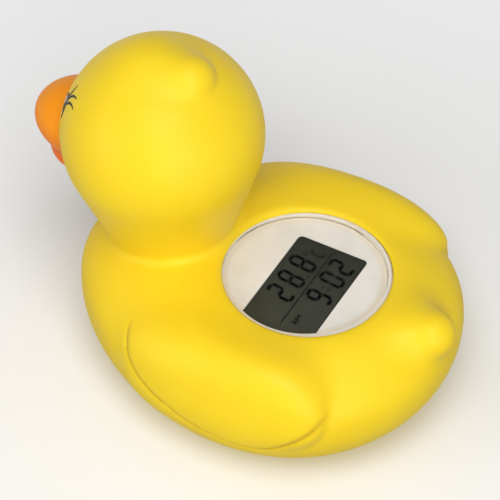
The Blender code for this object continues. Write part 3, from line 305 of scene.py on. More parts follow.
def egg(points, radii, power=2.0):
    """Nearly the distance to an ellipsoid at the origin, blunter with a greater power."""
    radii = np.array(radii)
    share = np.abs(points) / radii
    scaled = (share**power).sum(axis=-1) ** (1 / power)
    slope = np.linalg.norm(share ** (power - 1) / radii, axis=-1)
    return (scaled - 1) * scaled ** (power - 1) / np.maximum(slope, 1e-9)


def cone_with_balls(points, root, tip):
    """Distance to the hull of two balls on the middle plane, each given as (y, z, radius)."""
    start = np.array([0, root[0], root[1]])
    along = np.array([0, tip[0], tip[1]]) - start
    length = np.linalg.norm(along)
    along /= length
    offset = points - start
    run = offset @ along
    side = np.linalg.norm(offset - run[..., None] * along, axis=-1)
    lean = (root[2] - tip[2]) / length
    near = np.clip((run - side * lean / math.sqrt(1 - lean * lean)) / length, 0, 1)
    radius = root[2] + (tip[2] - root[2]) * near
    return np.hypot(run - near * length, side) - radius


def with_tip(form, points, root, tip, blend, late=1.0):
    """A form with a tapered lump on it that melts in ahead and has a crease behind.

    The higher late is, the further back the melting turns into the crease.
    """
    span = tip[0] + tip[2] - root[0]
    share = np.clip((points[..., 1] - root[0]) / span, 0, 1) ** late
    return smooth_min(form, cone_with_balls(points, root, tip), blend + (TIP_CREASE - blend) * share)


def body_form(points):
    """The body: a superellipse in plan, flattened on top, that lifts a little at both ends."""
    y = points[..., 1] + BODY_AHEAD
    along = y / BODY_HALF_LENGTH
    height = points[..., 2] - BODY_HEIGHT - BODY_LIFT * along**2
    width = BODY_HALF_WIDTH * (1 + BODY_TAPER * along)
    depth = np.where(height > 0, BODY_RISE, BODY_DEPTH)
    x, y, z = (np.abs(v) + 1e-9 for v in (points[..., 0] / width, along, height / depth))
    plan = (x**BODY_ROUND_PLAN + y**BODY_ROUND_PLAN) ** (1 / BODY_ROUND_PLAN)
    level = (plan**BODY_ROUND_SIDE + z**BODY_ROUND_SIDE) ** (1 / BODY_ROUND_SIDE)
    share = (plan / level) ** (BODY_ROUND_SIDE - 1)
    slope_x = share * (x / plan) ** (BODY_ROUND_PLAN - 1) / width
    slope_y = share * (y / plan) ** (BODY_ROUND_PLAN - 1) / BODY_HALF_LENGTH
    slope_z = (z / level) ** (BODY_ROUND_SIDE - 1) / depth
    return (level - 1) / np.sqrt(slope_x**2 + slope_y**2 + slope_z**2)


def wing_turn():
    turns = ((WING_YAW, "Z"), (WING_PITCH, "X"), (WING_ROLL, "Y"))
    made = Matrix.Identity(3)
    for degrees, axis in turns:
        made = made @ Matrix.Rotation(math.radians(degrees), 3, axis)
    return made


def rounded_line(corners_of_line, rounds=3):
    """An open line with its corners cut again and again until it is smooth."""
    line = np.array(corners_of_line) * MM
    for _ in range(rounds):
        nearer, further = 0.75 * line[:-1] + 0.25 * line[1:], 0.25 * line[:-1] + 0.75 * line[1:]
        line = np.concatenate([line[:1], np.stack([nearer, further], axis=1).reshape(-1, 2), line[-1:]])
    return line


WING_CURVE = rounded_line(WING_LINE)


def wing_line(points):
    """The moulded line under each wing: how deep it sinks each point, and how near each point is to it."""
    depth, trace = np.zeros(len(points)), np.zeros(len(points))
    low, high = WING_CURVE.min(axis=0) - WING_STEP_FADE * 2, WING_CURVE.max(axis=0) + WING_STEP_FADE * 2
    beside = ((points[:, 1:] > low) & (points[:, 1:] < high)).all(axis=1)
    there = beside & (points[:, 0] > WING_INNER)
    along = np.diff(WING_CURVE, axis=0)
    offset = points[there, None, 1:] - WING_CURVE[:-1]
    run = np.clip((offset * along).sum(axis=2) / (along**2).sum(axis=1), 0, 1)
    away = np.linalg.norm(offset - run[..., None] * along, axis=2)
    rows, nearest = np.arange(len(away)), away.argmin(axis=1)
    away, along, offset = away[rows, nearest], along[nearest], offset[rows, nearest]
    share = (nearest + run[rows, nearest]) / len(WING_CURVE)
    ends = np.clip(np.minimum(share, 1 - share) * WING_LINE_ENDS, 0, 1)
    below = along[:, 0] * offset[:, 1] < along[:, 1] * offset[:, 0]
    trace[there] = ends * np.exp(-(away / WING_GROOVE_HALF) ** 2)
    depth[there] = ends * WING_STEP * below * np.exp(-away / WING_STEP_FADE)
    return depth + WING_GROOVE * trace, trace


def trunk_form(points, lined=False):
    """Body, wings and tail, with the base, and the shallow dish in the back round the dial.

    With lined set, it also has the moulded line under each wing.
    """
    height = points[:, 2]
    in_wing = (points - np.array([WING_OUT, -WING_AHEAD, WING_HEIGHT])) @ np.array(wing_turn())
    fade = np.clip(in_wing[:, 2] / WING_RADII[2], 0, 1)
    blend = WING_CREASE + (WING_FADE - WING_CREASE) * fade * fade * (3 - 2 * fade)
    body, wing = body_form(points), egg(in_wing, WING_RADII, WING_ROUND)
    form = smooth_min(body, wing, blend)
    if lined:
        form = form + wing_line(points)[0]
    form = with_tip(form, points, TAIL_ROOT, TAIL_TIP, TAIL_BLEND, TAIL_LATE)
    from_axis = np.hypot(points[:, 0], points[:, 1])
    base = np.maximum(from_axis - COVER_RECESS_RADIUS - BASE_MARGIN, height - BASE_RISE)
    form = smooth_max(smooth_min(form, base, BASE_BLEND), -(height + BASE_SINK), BASE_EDGE)
    from_axis = np.hypot(points[:, 0], points[:, 1] - MOUTH_BEHIND)
    dish = height - DIAL_Z - DISH_LIP - DISH_SLOPE * np.maximum(from_axis - MOUTH_RADIUS, 0)
    return smooth_max(form, dish, DISH_BLEND)


def skull_form(points):
    """Head, neck and crest, without the bill."""
    head = (-HEAD_AHEAD, HEAD_HEIGHT, HEAD_RADIUS)
    neck = (-NECK_AHEAD, NECK_HEIGHT, NECK_RADIUS)
    return with_tip(cone_with_balls(points, head, neck), points, CREST_ROOT, CREST_TIP, CREST_BLEND)


def bill_forms(points):
    """The upper bill and the chin under it."""
    bill = egg(points + np.array([0, BILL_AHEAD, -BILL_HEIGHT]), BILL_RADII)
    chin = egg(points + np.array([0, CHIN_AHEAD, -CHIN_HEIGHT]), CHIN_RADII)
    return bill, chin


def head_form(points):
    bill, chin = bill_forms(points)
    return smooth_min(smooth_min(skull_form(points), bill, BILL_BLEND), chin, CHIN_BLEND)


def mirrored(points):
    """The points, all brought to the duck's left side."""
    return np.abs(points) * (1, 0, 0) + points * (0, 1, 1)


def duck_form(points):
    """How far each point lies outside the duck. Points are from the core's axis, on the floor."""
    points = mirrored(points)
    from_axis = np.hypot(points[:, 0], points[:, 1] - MOUTH_BEHIND)
    mouth = np.maximum(from_axis - MOUTH_RADIUS + GAP, DIAL_Z - points[:, 2])
    trunk = smooth_max(trunk_form(points, True), -mouth, LIP_BLEND)
    return smooth_min(trunk, head_form(points), NECK_BLEND)


def cavity_form(points):
    """The hollow: the duck's form, one wall in, kept off the seat and off the base recess."""
    points = mirrored(points)
    height = points[:, 2]
    from_axis = np.hypot(points[:, 0], points[:, 1])
    seat = np.maximum(from_axis - SEAT_RADIUS - WALL, LEDGE_BOTTOM - SEAT_RIM - height)
    floor = np.maximum(from_axis - COVER_RECESS_RADIUS - WALL, height - FLOOR_TOP - SEAT_RIM)
    trunk = smooth_max(trunk_form(points) + WALL, -seat, CAVITY_BLEND)
    trunk = smooth_max(trunk, -floor, CAVITY_BLEND)
    lip = np.maximum(seat, height - FLANGE_TOP - WALL)
    head = smooth_max(head_form(points) + WALL, -lip, CAVITY_BLEND)
    return smooth_min(trunk, head, NECK_BLEND)


def slope_of(points, form):
    """How fast the form grows along each axis, at each point."""
    return np.stack([(form(points + shift) - form(points - shift)) / (2 * SLOPE_STEP)
                     for shift in np.eye(3) * SLOPE_STEP], axis=1)


def settle(points, form, rounds=4):
    """Moves points onto the surface where the form is zero."""
    for _ in range(rounds):
        slope = slope_of(points, form)
        size = np.maximum((slope**2).sum(axis=1), LEAST_SLOPE)
        points = points - np.clip(form(points) / size, -REACH, REACH)[:, None] * slope
    return points


def new_object(name, mesh):
    made = bpy.data.objects.new(name, mesh)
    bpy.context.collection.objects.link(made)
    return made


def evaluated(piece):
    bpy.context.view_layer.update()
    return bpy.data.meshes.new_from_object(piece.evaluated_get(bpy.context.evaluated_depsgraph_get()))


def corners(mesh):
    points = np.empty(len(mesh.vertices) * 3)
    mesh.vertices.foreach_get("co", points)
    return points.reshape(-1, 3)


def refined(mesh, form, kind, **settings):
    """The mesh after one modifier, with its points settled on the form."""
    holder = new_object("form_guide", mesh)
    step = holder.modifiers.new("form", kind)
    for key, value in settings.items():
        setattr(step, key, value)
    made = evaluated(holder)
    bpy.data.objects.remove(holder)
    made.vertices.foreach_set("co", settle(corners(made), form).ravel())
    made.update()
    return made


def form_mesh(name, form, shrink, cells):
    """A closed mesh on the zero surface of a form, begun from balls that fill the duck's lumps."""
    lumps = [((0, -BODY_AHEAD, BODY_HEIGHT), (BODY_HALF_WIDTH, BODY_HALF_LENGTH, BODY_RISE)),
             ((0, -HEAD_AHEAD, HEAD_HEIGHT), (HEAD_RADIUS,) * 3),
             ((0, -NECK_AHEAD, NECK_HEIGHT), (NECK_RADIUS,) * 3),
             ((0, -BILL_AHEAD, BILL_HEIGHT), BILL_RADII),
             ((0, -CHIN_AHEAD, CHIN_HEIGHT), CHIN_RADII),
             ((WING_OUT, -WING_AHEAD, WING_HEIGHT), WING_RADII),
             ((-WING_OUT, -WING_AHEAD, WING_HEIGHT), WING_RADII)]
    lumps += [((0, y, z), (radius,) * 3) for y, z, radius in (TAIL_ROOT, TAIL_TIP, CREST_ROOT, CREST_TIP)]
    work = bmesh.new()
    for centre, radii in lumps:
        if min(radii) - shrink < COARSE_CELL:
            continue
        sized = Matrix.Diagonal((*(radius - shrink for radius in radii), 1))
        bmesh.ops.create_uvsphere(work, u_segments=BALL_STEPS[0], v_segments=BALL_STEPS[1], radius=1,
                                  matrix=Matrix.Translation(centre) @ sized)
    mesh = bpy.data.meshes.new(name)
    work.to_mesh(mesh)
    work.free()
    for cell in cells:
        mesh = refined(mesh, form, "REMESH", mode="VOXEL", voxel_size=cell)
        mesh = refined(mesh, form, "SMOOTH", factor=0.5, iterations=3)
    return mesh


def mesh_from(work, name):
    bmesh.ops.recalc_face_normals(work, faces=work.faces)
    mesh = bpy.data.meshes.new(name)
    work.to_mesh(mesh)
    work.free()
    return mesh


def turned(name, profile):
    """A solid of revolution about Z from (radius, height) points that start and end on the axis."""
    work = bmesh.new()
    points = [work.verts.new((radius, 0, height)) for radius, height in profile]
    edges = [work.edges.new(pair) for pair in zip(points, points[1:])]
    bmesh.ops.spin(work, geom=points + edges, axis=(0, 0, 1), cent=(0, 0, 0),
                   steps=TURN_STEPS, angle=2 * math.pi, use_duplicate=False)
    bmesh.ops.remove_doubles(work, verts=work.verts, dist=0.001 * MM)
    return mesh_from(work, name)


def skin_cutters():
    """The seat, the mouth of the lip and the base with its recess, as in the CAD skin."""
    low, top = LEDGE_BOTTOM - 2 * WALL, FLANGE_TOP + GAP
    seat = turned("seat", [(0, low), (SEAT_RADIUS, low), (SEAT_RADIUS, LEDGE_BOTTOM),
                           (SEAT_HOLE, LEDGE_BOTTOM), (SEAT_HOLE, LEDGE_TOP), (SEAT_RADIUS, LEDGE_TOP),
                           (SEAT_RADIUS, top), (0, top)])
    mouth = turned("mouth", [(0, FLANGE_TOP), (MOUTH_RADIUS, FLANGE_TOP),
                             (MOUTH_RADIUS, BODY_TOP + WALL), (0, BODY_TOP + WALL)])
    mouth.transform(Matrix.Translation((0, MOUTH_BEHIND, 0)))
    wide = BODY_HALF_LENGTH * 2
    base = turned("base", [(0, -wide), (wide, -wide), (wide, 0), (COVER_RECESS_RADIUS, 0),
                           (COVER_RECESS_RADIUS, BASE_RECESS), (BASE_HOLE, BASE_RECESS),
                           (BASE_HOLE, FLOOR_TOP), (FOOT_RADIUS, FLOOR_TOP),
                           (FOOT_RADIUS, FLOOR_TOP + WALL), (0, FLOOR_TOP + WALL)])
    return seat, mouth, base


def cut(mesh, tools):
    """The mesh with several closed tools cut from it in one exact step."""
    holder = new_object("cut_guide", mesh)
    group = bpy.data.collections.new("cut_tools")
    for tool in tools:
        group.objects.link(new_object(tool.name, tool))
    step = holder.modifiers.new("cut", "BOOLEAN")
    step.operand_type = "COLLECTION"
    step.collection = group
    step.operation = "DIFFERENCE"
    step.solver = "EXACT"
    made = evaluated(holder)
    for tool in list(group.objects):
        bpy.data.objects.remove(tool)
    bpy.data.collections.remove(group)
    bpy.data.objects.remove(holder)
    return made


def point_attribute(mesh, name, values):
    layer = mesh.attributes.new(name, "FLOAT", "POINT")
    layer.data.foreach_set("value", values.astype(np.float32))


def duck_skin(finish):
    """The hollow vinyl skin.

    For its paint it keeps how deep each point lies in the bill, and for its painted shade how far it is
    from the mouth and how near it is to the line under the wing.
    """
    outside = form_mesh("duck_skin", duck_form, 0, (COARSE_CELL, FINE_CELL))
    hollow = form_mesh("hollow", cavity_form, WALL, (CAVITY_CELL,))
    mesh = cut(outside, (hollow, *skin_cutters()))
    mesh.name = "duck_skin"
    points = mirrored(corners(mesh))
    bill, chin = bill_forms(points)
    skull = cone_with_balls(points, (-HEAD_AHEAD, HEAD_HEIGHT, HEAD_RADIUS),
                            (-NECK_AHEAD, NECK_HEIGHT, NECK_RADIUS))
    point_attribute(mesh, "bill", (skull - np.minimum(bill, chin)) / MM)
    point_attribute(mesh, "mouth", np.abs(bill - chin) / MM)
    point_attribute(mesh, "crease", wing_line(points)[1])
    mesh.materials.clear()
    mesh.materials.append(finish)
    mesh.shade_smooth()
    mesh.set_sharp_from_angle(angle=math.radians(SHARP_ANGLE))
    skin = new_object("duck_skin", mesh)
    skin.location = CORE
    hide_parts("duck_body")
    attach(skin, "duck")


def ribbon(spine, widths, columns=3, steps=10):
    """A strip of points along a smooth line through three points, in the eye's own millimetres."""
    (x0, y0), (x1, y1), (x2, y2) = spine
    rows = []
    for i in range(steps + 1):
        t = i / steps
        x = x0 * (1 - t) ** 2 + 2 * x1 * t * (1 - t) + x2 * t * t
        y = y0 * (1 - t) ** 2 + 2 * y1 * t * (1 - t) + y2 * t * t
        along = Vector(((x1 - x0) * (1 - t) + (x2 - x1) * t, (y1 - y0) * (1 - t) + (y2 - y1) * t))
        side = Vector((-along.y, along.x)).normalized()
        width = np.interp(t, (0, 0.5, 1), widths)
        rows.append([(x + side.x * width * (c / (columns - 1) - 0.5),
                      y + side.y * width * (c / (columns - 1) - 0.5)) for c in range(columns)])
    return rows


def oval(centre, radii, rings=8, steps=48):
    """Rings of points that fill an oval, in the eye's own millimetres."""
    rows = []
    for i in range(1, rings + 1):
        reach = math.sin(math.pi / 2 * i / rings)
        rows.append([(centre[0] + radii[0] * reach * math.cos(2 * math.pi * k / steps),
                      centre[1] + radii[1] * reach * math.sin(2 * math.pi * k / steps))
                     for k in range(steps)])
    return rows


def painted(name, side, strips, ovals, thickness, finish):
    """Paint on the head, in millimetres round the eye's centre: thin closed films half in the skin."""
    outward = EYE_CENTRE.normalized()
    across = Vector((0, 0, 1)).cross(outward).normalized()
    upward = outward.cross(across)
    centre = Vector((0, -HEAD_AHEAD, HEAD_HEIGHT)) + EYE_CENTRE

    def on_skin(flat, lift):
        places = np.array([centre + (across * a + upward * b) * MM for a, b in flat])
        places = settle(places, duck_form)
        slope = slope_of(places, duck_form)
        return (places + lift * slope / np.linalg.norm(slope, axis=1)[:, None]) * (side, 1, 1)

    work = bmesh.new()
    for rows, closed in [(rows, False) for rows in strips] + [(rows, True) for rows in ovals]:
        flat = [point for row in rows for point in row]
        wide = len(rows[0])
        layers = []
        for lift in (thickness, -thickness):
            layers.append([work.verts.new(place) for place in on_skin(flat, lift)])
        columns = wide if closed else wide - 1
        for i in range(len(rows) - 1):
            for k in range(columns):
                a, b = i * wide + k, i * wide + (k + 1) % wide
                c, d = b + wide, a + wide
                for layer in layers:
                    work.faces.new([layer[j] for j in (a, b, c, d)])
        if closed:
            for layer in layers:
                work.faces.new(layer[:wide])
            rim = list(range(len(flat) - wide, len(flat)))
            rim.append(rim[0])
        else:
            first, last = list(range(wide)), list(range(len(flat) - wide, len(flat)))
            left = [i * wide for i in range(len(rows))]
            right = [i * wide + wide - 1 for i in range(len(rows))]
            rim = first + right[1:] + last[::-1][1:] + left[::-1][1:]
        for a, b in zip(rim, rim[1:]):
            work.faces.new([layers[0][a], layers[0][b], layers[1][b], layers[1][a]])
    mesh = mesh_from(work, name)
    mesh.materials.append(finish)
    mesh.shade_smooth()
    film = new_object(name, mesh)
    film.location = CORE
    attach(film, "duck")


def eyes(ink, white):
    """Both eyes: a dark oval and lashes, with white glints on it."""
    for side, name in ((1, "left"), (-1, "right")):
        lashes = [ribbon(spine, LASH_WIDTHS) for spine in EYE_LASHES]
        painted(f"eye_{name}", side, lashes, [oval((0, 0), EYE_RADII)], PAINT, ink)
        glints = [oval(place, (radius, radius), 4, 24) for place, radius in EYE_GLINTS]
        painted(f"eye_glint_{name}", side, [], glints, GLINT, white)


def bar(start, end, width):
    """A display bar with pointed ends, between two points."""
    a, b = Vector(start), Vector(end)
    along = (b - a).normalized() * width / 2
    side = Vector((-along.y, along.x))
    return [a, a + along + side, b - along + side, b, b - along - side, a + along - side]


def disc_outline(centre, radius, steps=20):
    return [Vector((centre[0] + radius * math.cos(2 * math.pi * k / steps),
                    centre[1] + radius * math.sin(2 * math.pi * k / steps))) for k in range(steps)]


def digit(segments, left, top, height, width, thick):
    """The bars of one seven-segment digit, leaning to the right."""
    x0, x1 = left + thick / 2, left + width - thick / 2
    y0, y1, y2 = top + thick / 2, top + height / 2, top + height - thick / 2
    ends = {"a": ((x0, y0), (x1, y0)), "b": ((x1, y0), (x1, y1)), "c": ((x1, y1), (x1, y2)),
            "d": ((x0, y2), (x1, y2)), "e": ((x0, y1), (x0, y2)), "f": ((x0, y0), (x0, y1)),
            "g": ((x0, y1), (x1, y1))}
    made = []
    for name in segments:
        a, b = (Vector(end) for end in ends[name])
        inset = (b - a).normalized() * DIGIT_GAP
        made.append([Vector((p.x + DIGIT_SLANT * (y2 - p.y), p.y))
                     for p in bar(a + inset, b - inset, thick)])
    return made


def display_ink(finish):
    """The display's dark bars: a temperature row ahead, a divider and a clock row behind."""
    shapes = [bar(*DIVIDER)]
    for row in (TEMPERATURE_ROW, CLOCK_ROW):
        numbers = row["text"].replace(".", "")
        for number, left in zip(numbers, row["left"]):
            shapes += digit(SEGMENTS[number], left, row["top"], row["height"], row["width"], BAR)
    shapes += [disc_outline(place, DOT / 2) for place in (POINT_AT, *COLON_AT)]
    shapes += digit("adef", UNIT_LEFT, UNIT_TOP, UNIT_HEIGHT, UNIT_WIDTH, UNIT_BAR)
    shapes += [bar(start, end, HALF_DAY_BAR) for line in HALF_DAY for start, end in zip(line, line[1:])]
    work = bmesh.new()
    ring = [disc_outline(DEGREE_AT, radius) for radius in (DEGREE_RADIUS, DEGREE_RADIUS / 2)]
    low = PANEL_HIGH.z + INK_LIFT

    def place(point, height):
        return work.verts.new((CORE.x - point.x * MM, CORE.y + point.y * MM, height))

    for outline in shapes:
        bottom, top = ([place(p, z) for p in outline] for z in (low, low + INK))
        work.faces.new(bottom)
        work.faces.new(top)
        for k in range(len(outline)):
            n = (k + 1) % len(outline)
            work.faces.new([bottom[k], bottom[n], top[n], top[k]])
    loops = [[place(p, z) for p in line] for line in ring for z in (low, low + INK)]
    outer_low, outer_top, inner_low, inner_top = loops
    for k in range(len(outer_low)):
        n = (k + 1) % len(outer_low)
        for a, b in ((outer_low, outer_top), (outer_top, inner_top), (inner_top, inner_low),
                     (inner_low, outer_low)):
            work.faces.new([a[k], a[n], b[n], b[k]])
    mesh = mesh_from(work, "display_ink")
    mesh.materials.append(finish)
    ink = new_object("display_ink", mesh)
    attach(ink, "duck")


class Finish:
    """A procedural material: colour, roughness and relief that vary over the surface."""

    def __init__(self, name, roughness, metallic=0.0, **settings):
        self.material = bpy.data.materials.new(name)
        self.material.use_nodes = True
        self.tree = self.material.node_tree
        self.shader = self.tree.nodes["Principled BSDF"]
        self.output = self.tree.nodes["Material Output"]
        self.shader.inputs["Roughness"].default_value = roughness
        self.shader.inputs["Metallic"].default_value = metallic
        for socket, value in settings.items():
            self.shader.inputs[socket.replace("_", " ")].default_value = value
        self.place = self.node("ShaderNodeTexCoord").outputs["Object"]
        self.relief = None

    def node(self, kind, **settings):
        made = self.tree.nodes.new(kind)
        for key, value in settings.items():
            setattr(made, key, value)
        return made

    def link(self, start, end):
        self.tree.links.new(start, end)
        return end

    def feed(self, node, **values):
        """Fills a node's sockets: a plain value is set on the socket, an output is linked to it."""
        for key, value in values.items():
            socket = node.inputs[key.replace("_", " ")]
            if isinstance(value, bpy.types.NodeSocket):
                self.link(value, socket)
            else:
                socket.default_value = value
        return node

    def stretched(self, scale):
        moved = self.feed(self.node("ShaderNodeMapping"), Vector=self.place, Scale=scale)
        return moved.outputs["Vector"]

    def noise(self, size, detail=3.0, stretch=None):
        """Fractal noise whose features are about size across, from 0 to 1."""
        place = self.stretched(stretch) if stretch else self.place
        made = self.feed(self.node("ShaderNodeTexNoise"), Vector=place, Scale=1 / size,
                         Detail=detail, Roughness=0.5)
        return made.outputs["Fac"]

    def ranged(self, value, low, high, start=0.3, end=0.7):
        """A value that goes from low to high while another goes from start to end."""
        made = self.feed(self.node("ShaderNodeMapRange"), Value=value)
        for key, number in (("From Min", start), ("From Max", end), ("To Min", low), ("To Max", high)):
            made.inputs[key].default_value = number
        return made.outputs["Result"]

    def ramp(self, value, stops):
        """Colours along a value, as (place, colour) stops."""
        made = self.feed(self.node("ShaderNodeValToRGB"), Fac=value)
        elements = made.color_ramp.elements
        while len(elements) < len(stops):
            elements.new(0.5)
        for element, (place, colour) in zip(elements, stops):
            element.position = place
            element.color = (*colour, 1)
        return made.outputs["Color"]

    def mixed(self, share, first, second):
        """The first colour where the share is 0, and the second where it is 1."""
        made = self.node("ShaderNodeMix", data_type="RGBA")
        for socket, value in zip((made.inputs[0], made.inputs[6], made.inputs[7]), (share, first, second)):
            if isinstance(value, bpy.types.NodeSocket):
                self.link(value, socket)
            else:
                socket.default_value = (*value, 1) if isinstance(value, tuple) else value
        return made.outputs[2]

    def math(self, operation, first, second=0.0, third=0.0):
        made = self.node("ShaderNodeMath", operation=operation)
        for socket, value in zip(made.inputs, (first, second, third)):
            if isinstance(value, bpy.types.NodeSocket):
                self.link(value, socket)
            else:
                socket.default_value = value
        return made.outputs["Value"]

    def attribute(self, name):
        return self.node("ShaderNodeAttribute", attribute_name=name).outputs["Fac"]

    def colour(self, value):
        self.link(value, self.shader.inputs["Base Color"])
        return self

    def roughness(self, value):
        self.link(value, self.shader.inputs["Roughness"])
        return self

    def bump(self, height, distance, strength=1.0):
        """Adds one layer of relief, distance deep where the height goes from 0 to 1."""
        made = self.feed(self.node("ShaderNodeBump"), Height=height, Distance=distance, Strength=strength)
        if self.relief:
            self.link(self.relief, made.inputs["Normal"])
        self.relief = made.outputs["Normal"]
        self.link(self.relief, self.shader.inputs["Normal"])
        return self


def tinted(colour, factor):
    return tuple(min(1.0, c * factor) for c in colour)


def moulded(name, colour, roughness, grain=0.5 * MM, depth=0.012 * MM, **settings):
    """Moulded plastic or rubber: faint flow in the colour, satin patches and a fine grain."""
    made = Finish(name, roughness, **settings)
    flow = made.noise(MOULD_FLOW, 4)
    made.colour(made.ramp(flow, ((0.3, tinted(colour, 0.94)), (0.7, tinted(colour, 1.03)))))
    made.roughness(made.ranged(made.noise(MOULD_PATCH), roughness - 0.05, roughness + 0.06))
    return made.bump(made.noise(grain, 2), depth).material


def metal(name, colour, roughness, lay=(1, 1, 14)):
    """Drawn or rolled metal: fine lines along its lay and small tarnished patches."""
    made = Finish(name, roughness, metallic=1.0)
    lines = made.noise(METAL_LINE, 4, lay)
    patches = made.noise(METAL_PATCH, 3)
    made.colour(made.ramp(patches, ((0.3, tinted(colour, 0.86)), (0.7, tinted(colour, 1.04)))))
    made.roughness(made.ranged(lines, roughness - 0.08, roughness + 0.12))
    return made.bump(lines, METAL_LINE_DEPTH).material


def vinyl_finish():
    """Soft rotary-moulded vinyl: satin, a little translucent, with the bill sprayed orange.

    The orange is redder low down and, as painted shade, darker in the crease where the bill meets the chin.
    The yellow has painted shade along the line under each wing.
    """
    made = Finish("duck_vinyl", 0.45, Specular_IOR_Level=0.22, Subsurface_Weight=0.15,
                  Subsurface_Radius=(0.006, 0.003, 0.001), Subsurface_Scale=1.0)
    flow = made.noise(VINYL_FLOW, 3)
    yellow = made.ramp(flow, ((0.3, YELLOW_LOW), (0.7, YELLOW_HIGH)))
    across = made.node("ShaderNodeSeparateXYZ")
    made.link(made.place, across.inputs["Vector"])
    rise = made.ranged(across.outputs["Z"], 0.0, 1.0, CHIN_HEIGHT, BILL_HEIGHT + SPRAY_ABOVE)
    spray = made.math("ADD", rise, made.ranged(made.noise(SPRAY_PATCH, 3), -UNEVEN, UNEVEN))
    orange = made.ramp(spray, ((0.0, ORANGE_LOW), (1.0, ORANGE_HIGH)))
    # Painted shade: the orange darkens near the crease between bill and chin
    corner = made.ranged(made.attribute("mouth"), 0.0, 1.0, 0.0, MOUTH_SHADE_SOFT)
    orange = made.mixed(corner, ORANGE_MOUTH_SHADE, orange)
    edge = made.ranged(made.noise(BILL_EDGE_PATCH), -UNEVEN, UNEVEN)
    edge = made.math("ADD", made.attribute("bill"), edge)
    mask = made.ranged(edge, 0.0, 1.0, *BILL_EDGE)
    # Painted shade: the yellow darkens along the line under the wing, as shade falls in its crease
    shade = made.math("MULTIPLY", made.attribute("crease"), CREASE_SHADE)
    yellow = made.mixed(shade, yellow, YELLOW_CREASE_SHADE)
    made.colour(made.mixed(mask, yellow, orange))
    made.roughness(made.ranged(made.noise(VINYL_PATCH, 4), *VINYL_ROUGHNESS))
    made.bump(made.noise(VINYL_WAVE, 2), VINYL_WAVE_DEPTH)
    return made.bump(made.noise(VINYL_GRAIN, 2), VINYL_GRAIN_DEPTH).material


def clear_finish():
    """Clear moulded window with a satin rim, whose warm tint is a painted reflection of the yellow vinyl.

    Its IOR is low, and light for what is under it passes straight through, so that the display stays
    dark and its bars stay readable.
    """
    made = Finish("clear_window", 0.06, IOR=WINDOW_IOR, Transmission_Weight=1.0)
    haze = made.noise(WINDOW_HAZE, 3)
    clear = made.ramp(haze, ((0.3, CLEAR_LOW), (0.7, CLEAR_HIGH)))
    level = made.node("ShaderNodeVectorMath", operation="MULTIPLY_ADD")
    made.link(made.place, level.inputs[0])
    level.inputs[1].default_value = (1, 1, 0)
    level.inputs[2].default_value = (-CORE.x, -CORE.y, 0)
    away = made.node("ShaderNodeVectorMath", operation="LENGTH")
    made.link(level.outputs["Vector"], away.inputs[0])
    rim = made.ranged(away.outputs["Value"], 0.0, 1.0, LENS_FACE_RADIUS - LENS_RIM_EDGE, LENS_FACE_RADIUS)
    # Painted reflection: the satin rim is tinted warm for the yellow vinyl it reflects
    made.colour(made.mixed(rim, clear, LENS_RIM_WARM_REFLECTION))
    satin = made.math("MULTIPLY", rim, LENS_RIM_SATIN)
    made.roughness(made.math("ADD", satin, made.ranged(made.noise(WINDOW_PATCH), *WINDOW_ROUGHNESS)))
    made.bump(made.noise(WINDOW_WAVE, 1), WINDOW_WAVE_DEPTH)
    straight = made.node("ShaderNodeBsdfTransparent")
    straight.inputs["Color"].default_value = (*CLEAR_STRAIGHT, 1)
    light = made.node("ShaderNodeLightPath")
    mix = made.node("ShaderNodeMixShader")
    unseen = made.math("MAXIMUM", light.outputs["Is Shadow Ray"], light.outputs["Is Diffuse Ray"])
    made.link(unseen, mix.inputs[0])
    made.link(made.shader.outputs["BSDF"], mix.inputs[1])
    made.link(straight.outputs["BSDF"], mix.inputs[2])
    made.link(mix.outputs["Shader"], made.output.inputs["Surface"])
    return made.material


def panel_finish():
    """The display glass: grey-green with a fine grain, and painted shade that makes it darker at the
    reader's right, which is at -X.
    """
    made = Finish("display_glass", 0.25, Specular_IOR_Level=0.03)
    across = made.node("ShaderNodeSeparateXYZ")
    made.link(made.place, across.inputs["Vector"])
    # Painted shade: the colour goes from shaded at the reader's right to lit at the left, with random
    # patches on top
    shade_and_patches = made.ranged(across.outputs["X"], 0.0, 1.0, PANEL_LOW.x, PANEL_HIGH.x)
    shade_and_patches = made.math("ADD", shade_and_patches, made.ranged(made.noise(PANEL_PATCH, 3), -UNEVEN, UNEVEN))
    made.colour(made.ramp(shade_and_patches, ((0.0, PANEL_SHADED), (1.0, PANEL_LIT))))
    made.roughness(made.ranged(made.noise(PANEL_SATIN, 1), *PANEL_ROUGHNESS))
    return made.bump(made.noise(PANEL_GRAIN, 1), PANEL_GRAIN_DEPTH).material


def board_finish():
    """Circuit board: green solder mask over paler tracks, with the weave showing faintly."""
    made = Finish("circuit_green", 0.38, Specular_IOR_Level=0.5)
    tracks = made.feed(made.node("ShaderNodeTexBrick"), Vector=made.place, Scale=TRACK_SCALE,
                       Color1=(*BOARD_LOW, 1), Color2=(*BOARD_HIGH, 1), Mortar=(*BOARD_TRACK, 1))
    tracks.inputs["Mortar Size"].default_value = 0.04
    weave = made.noise(BOARD_WEAVE_SIZE, 1, (1, 6, 1))
    made.colour(made.mixed(made.ranged(weave, 0.0, 0.25), tracks.outputs["Color"], BOARD_WEAVE))
    made.roughness(made.ranged(weave, 0.32, 0.46))
    return made.bump(tracks.outputs["Fac"], BOARD_TRACK_DEPTH).material


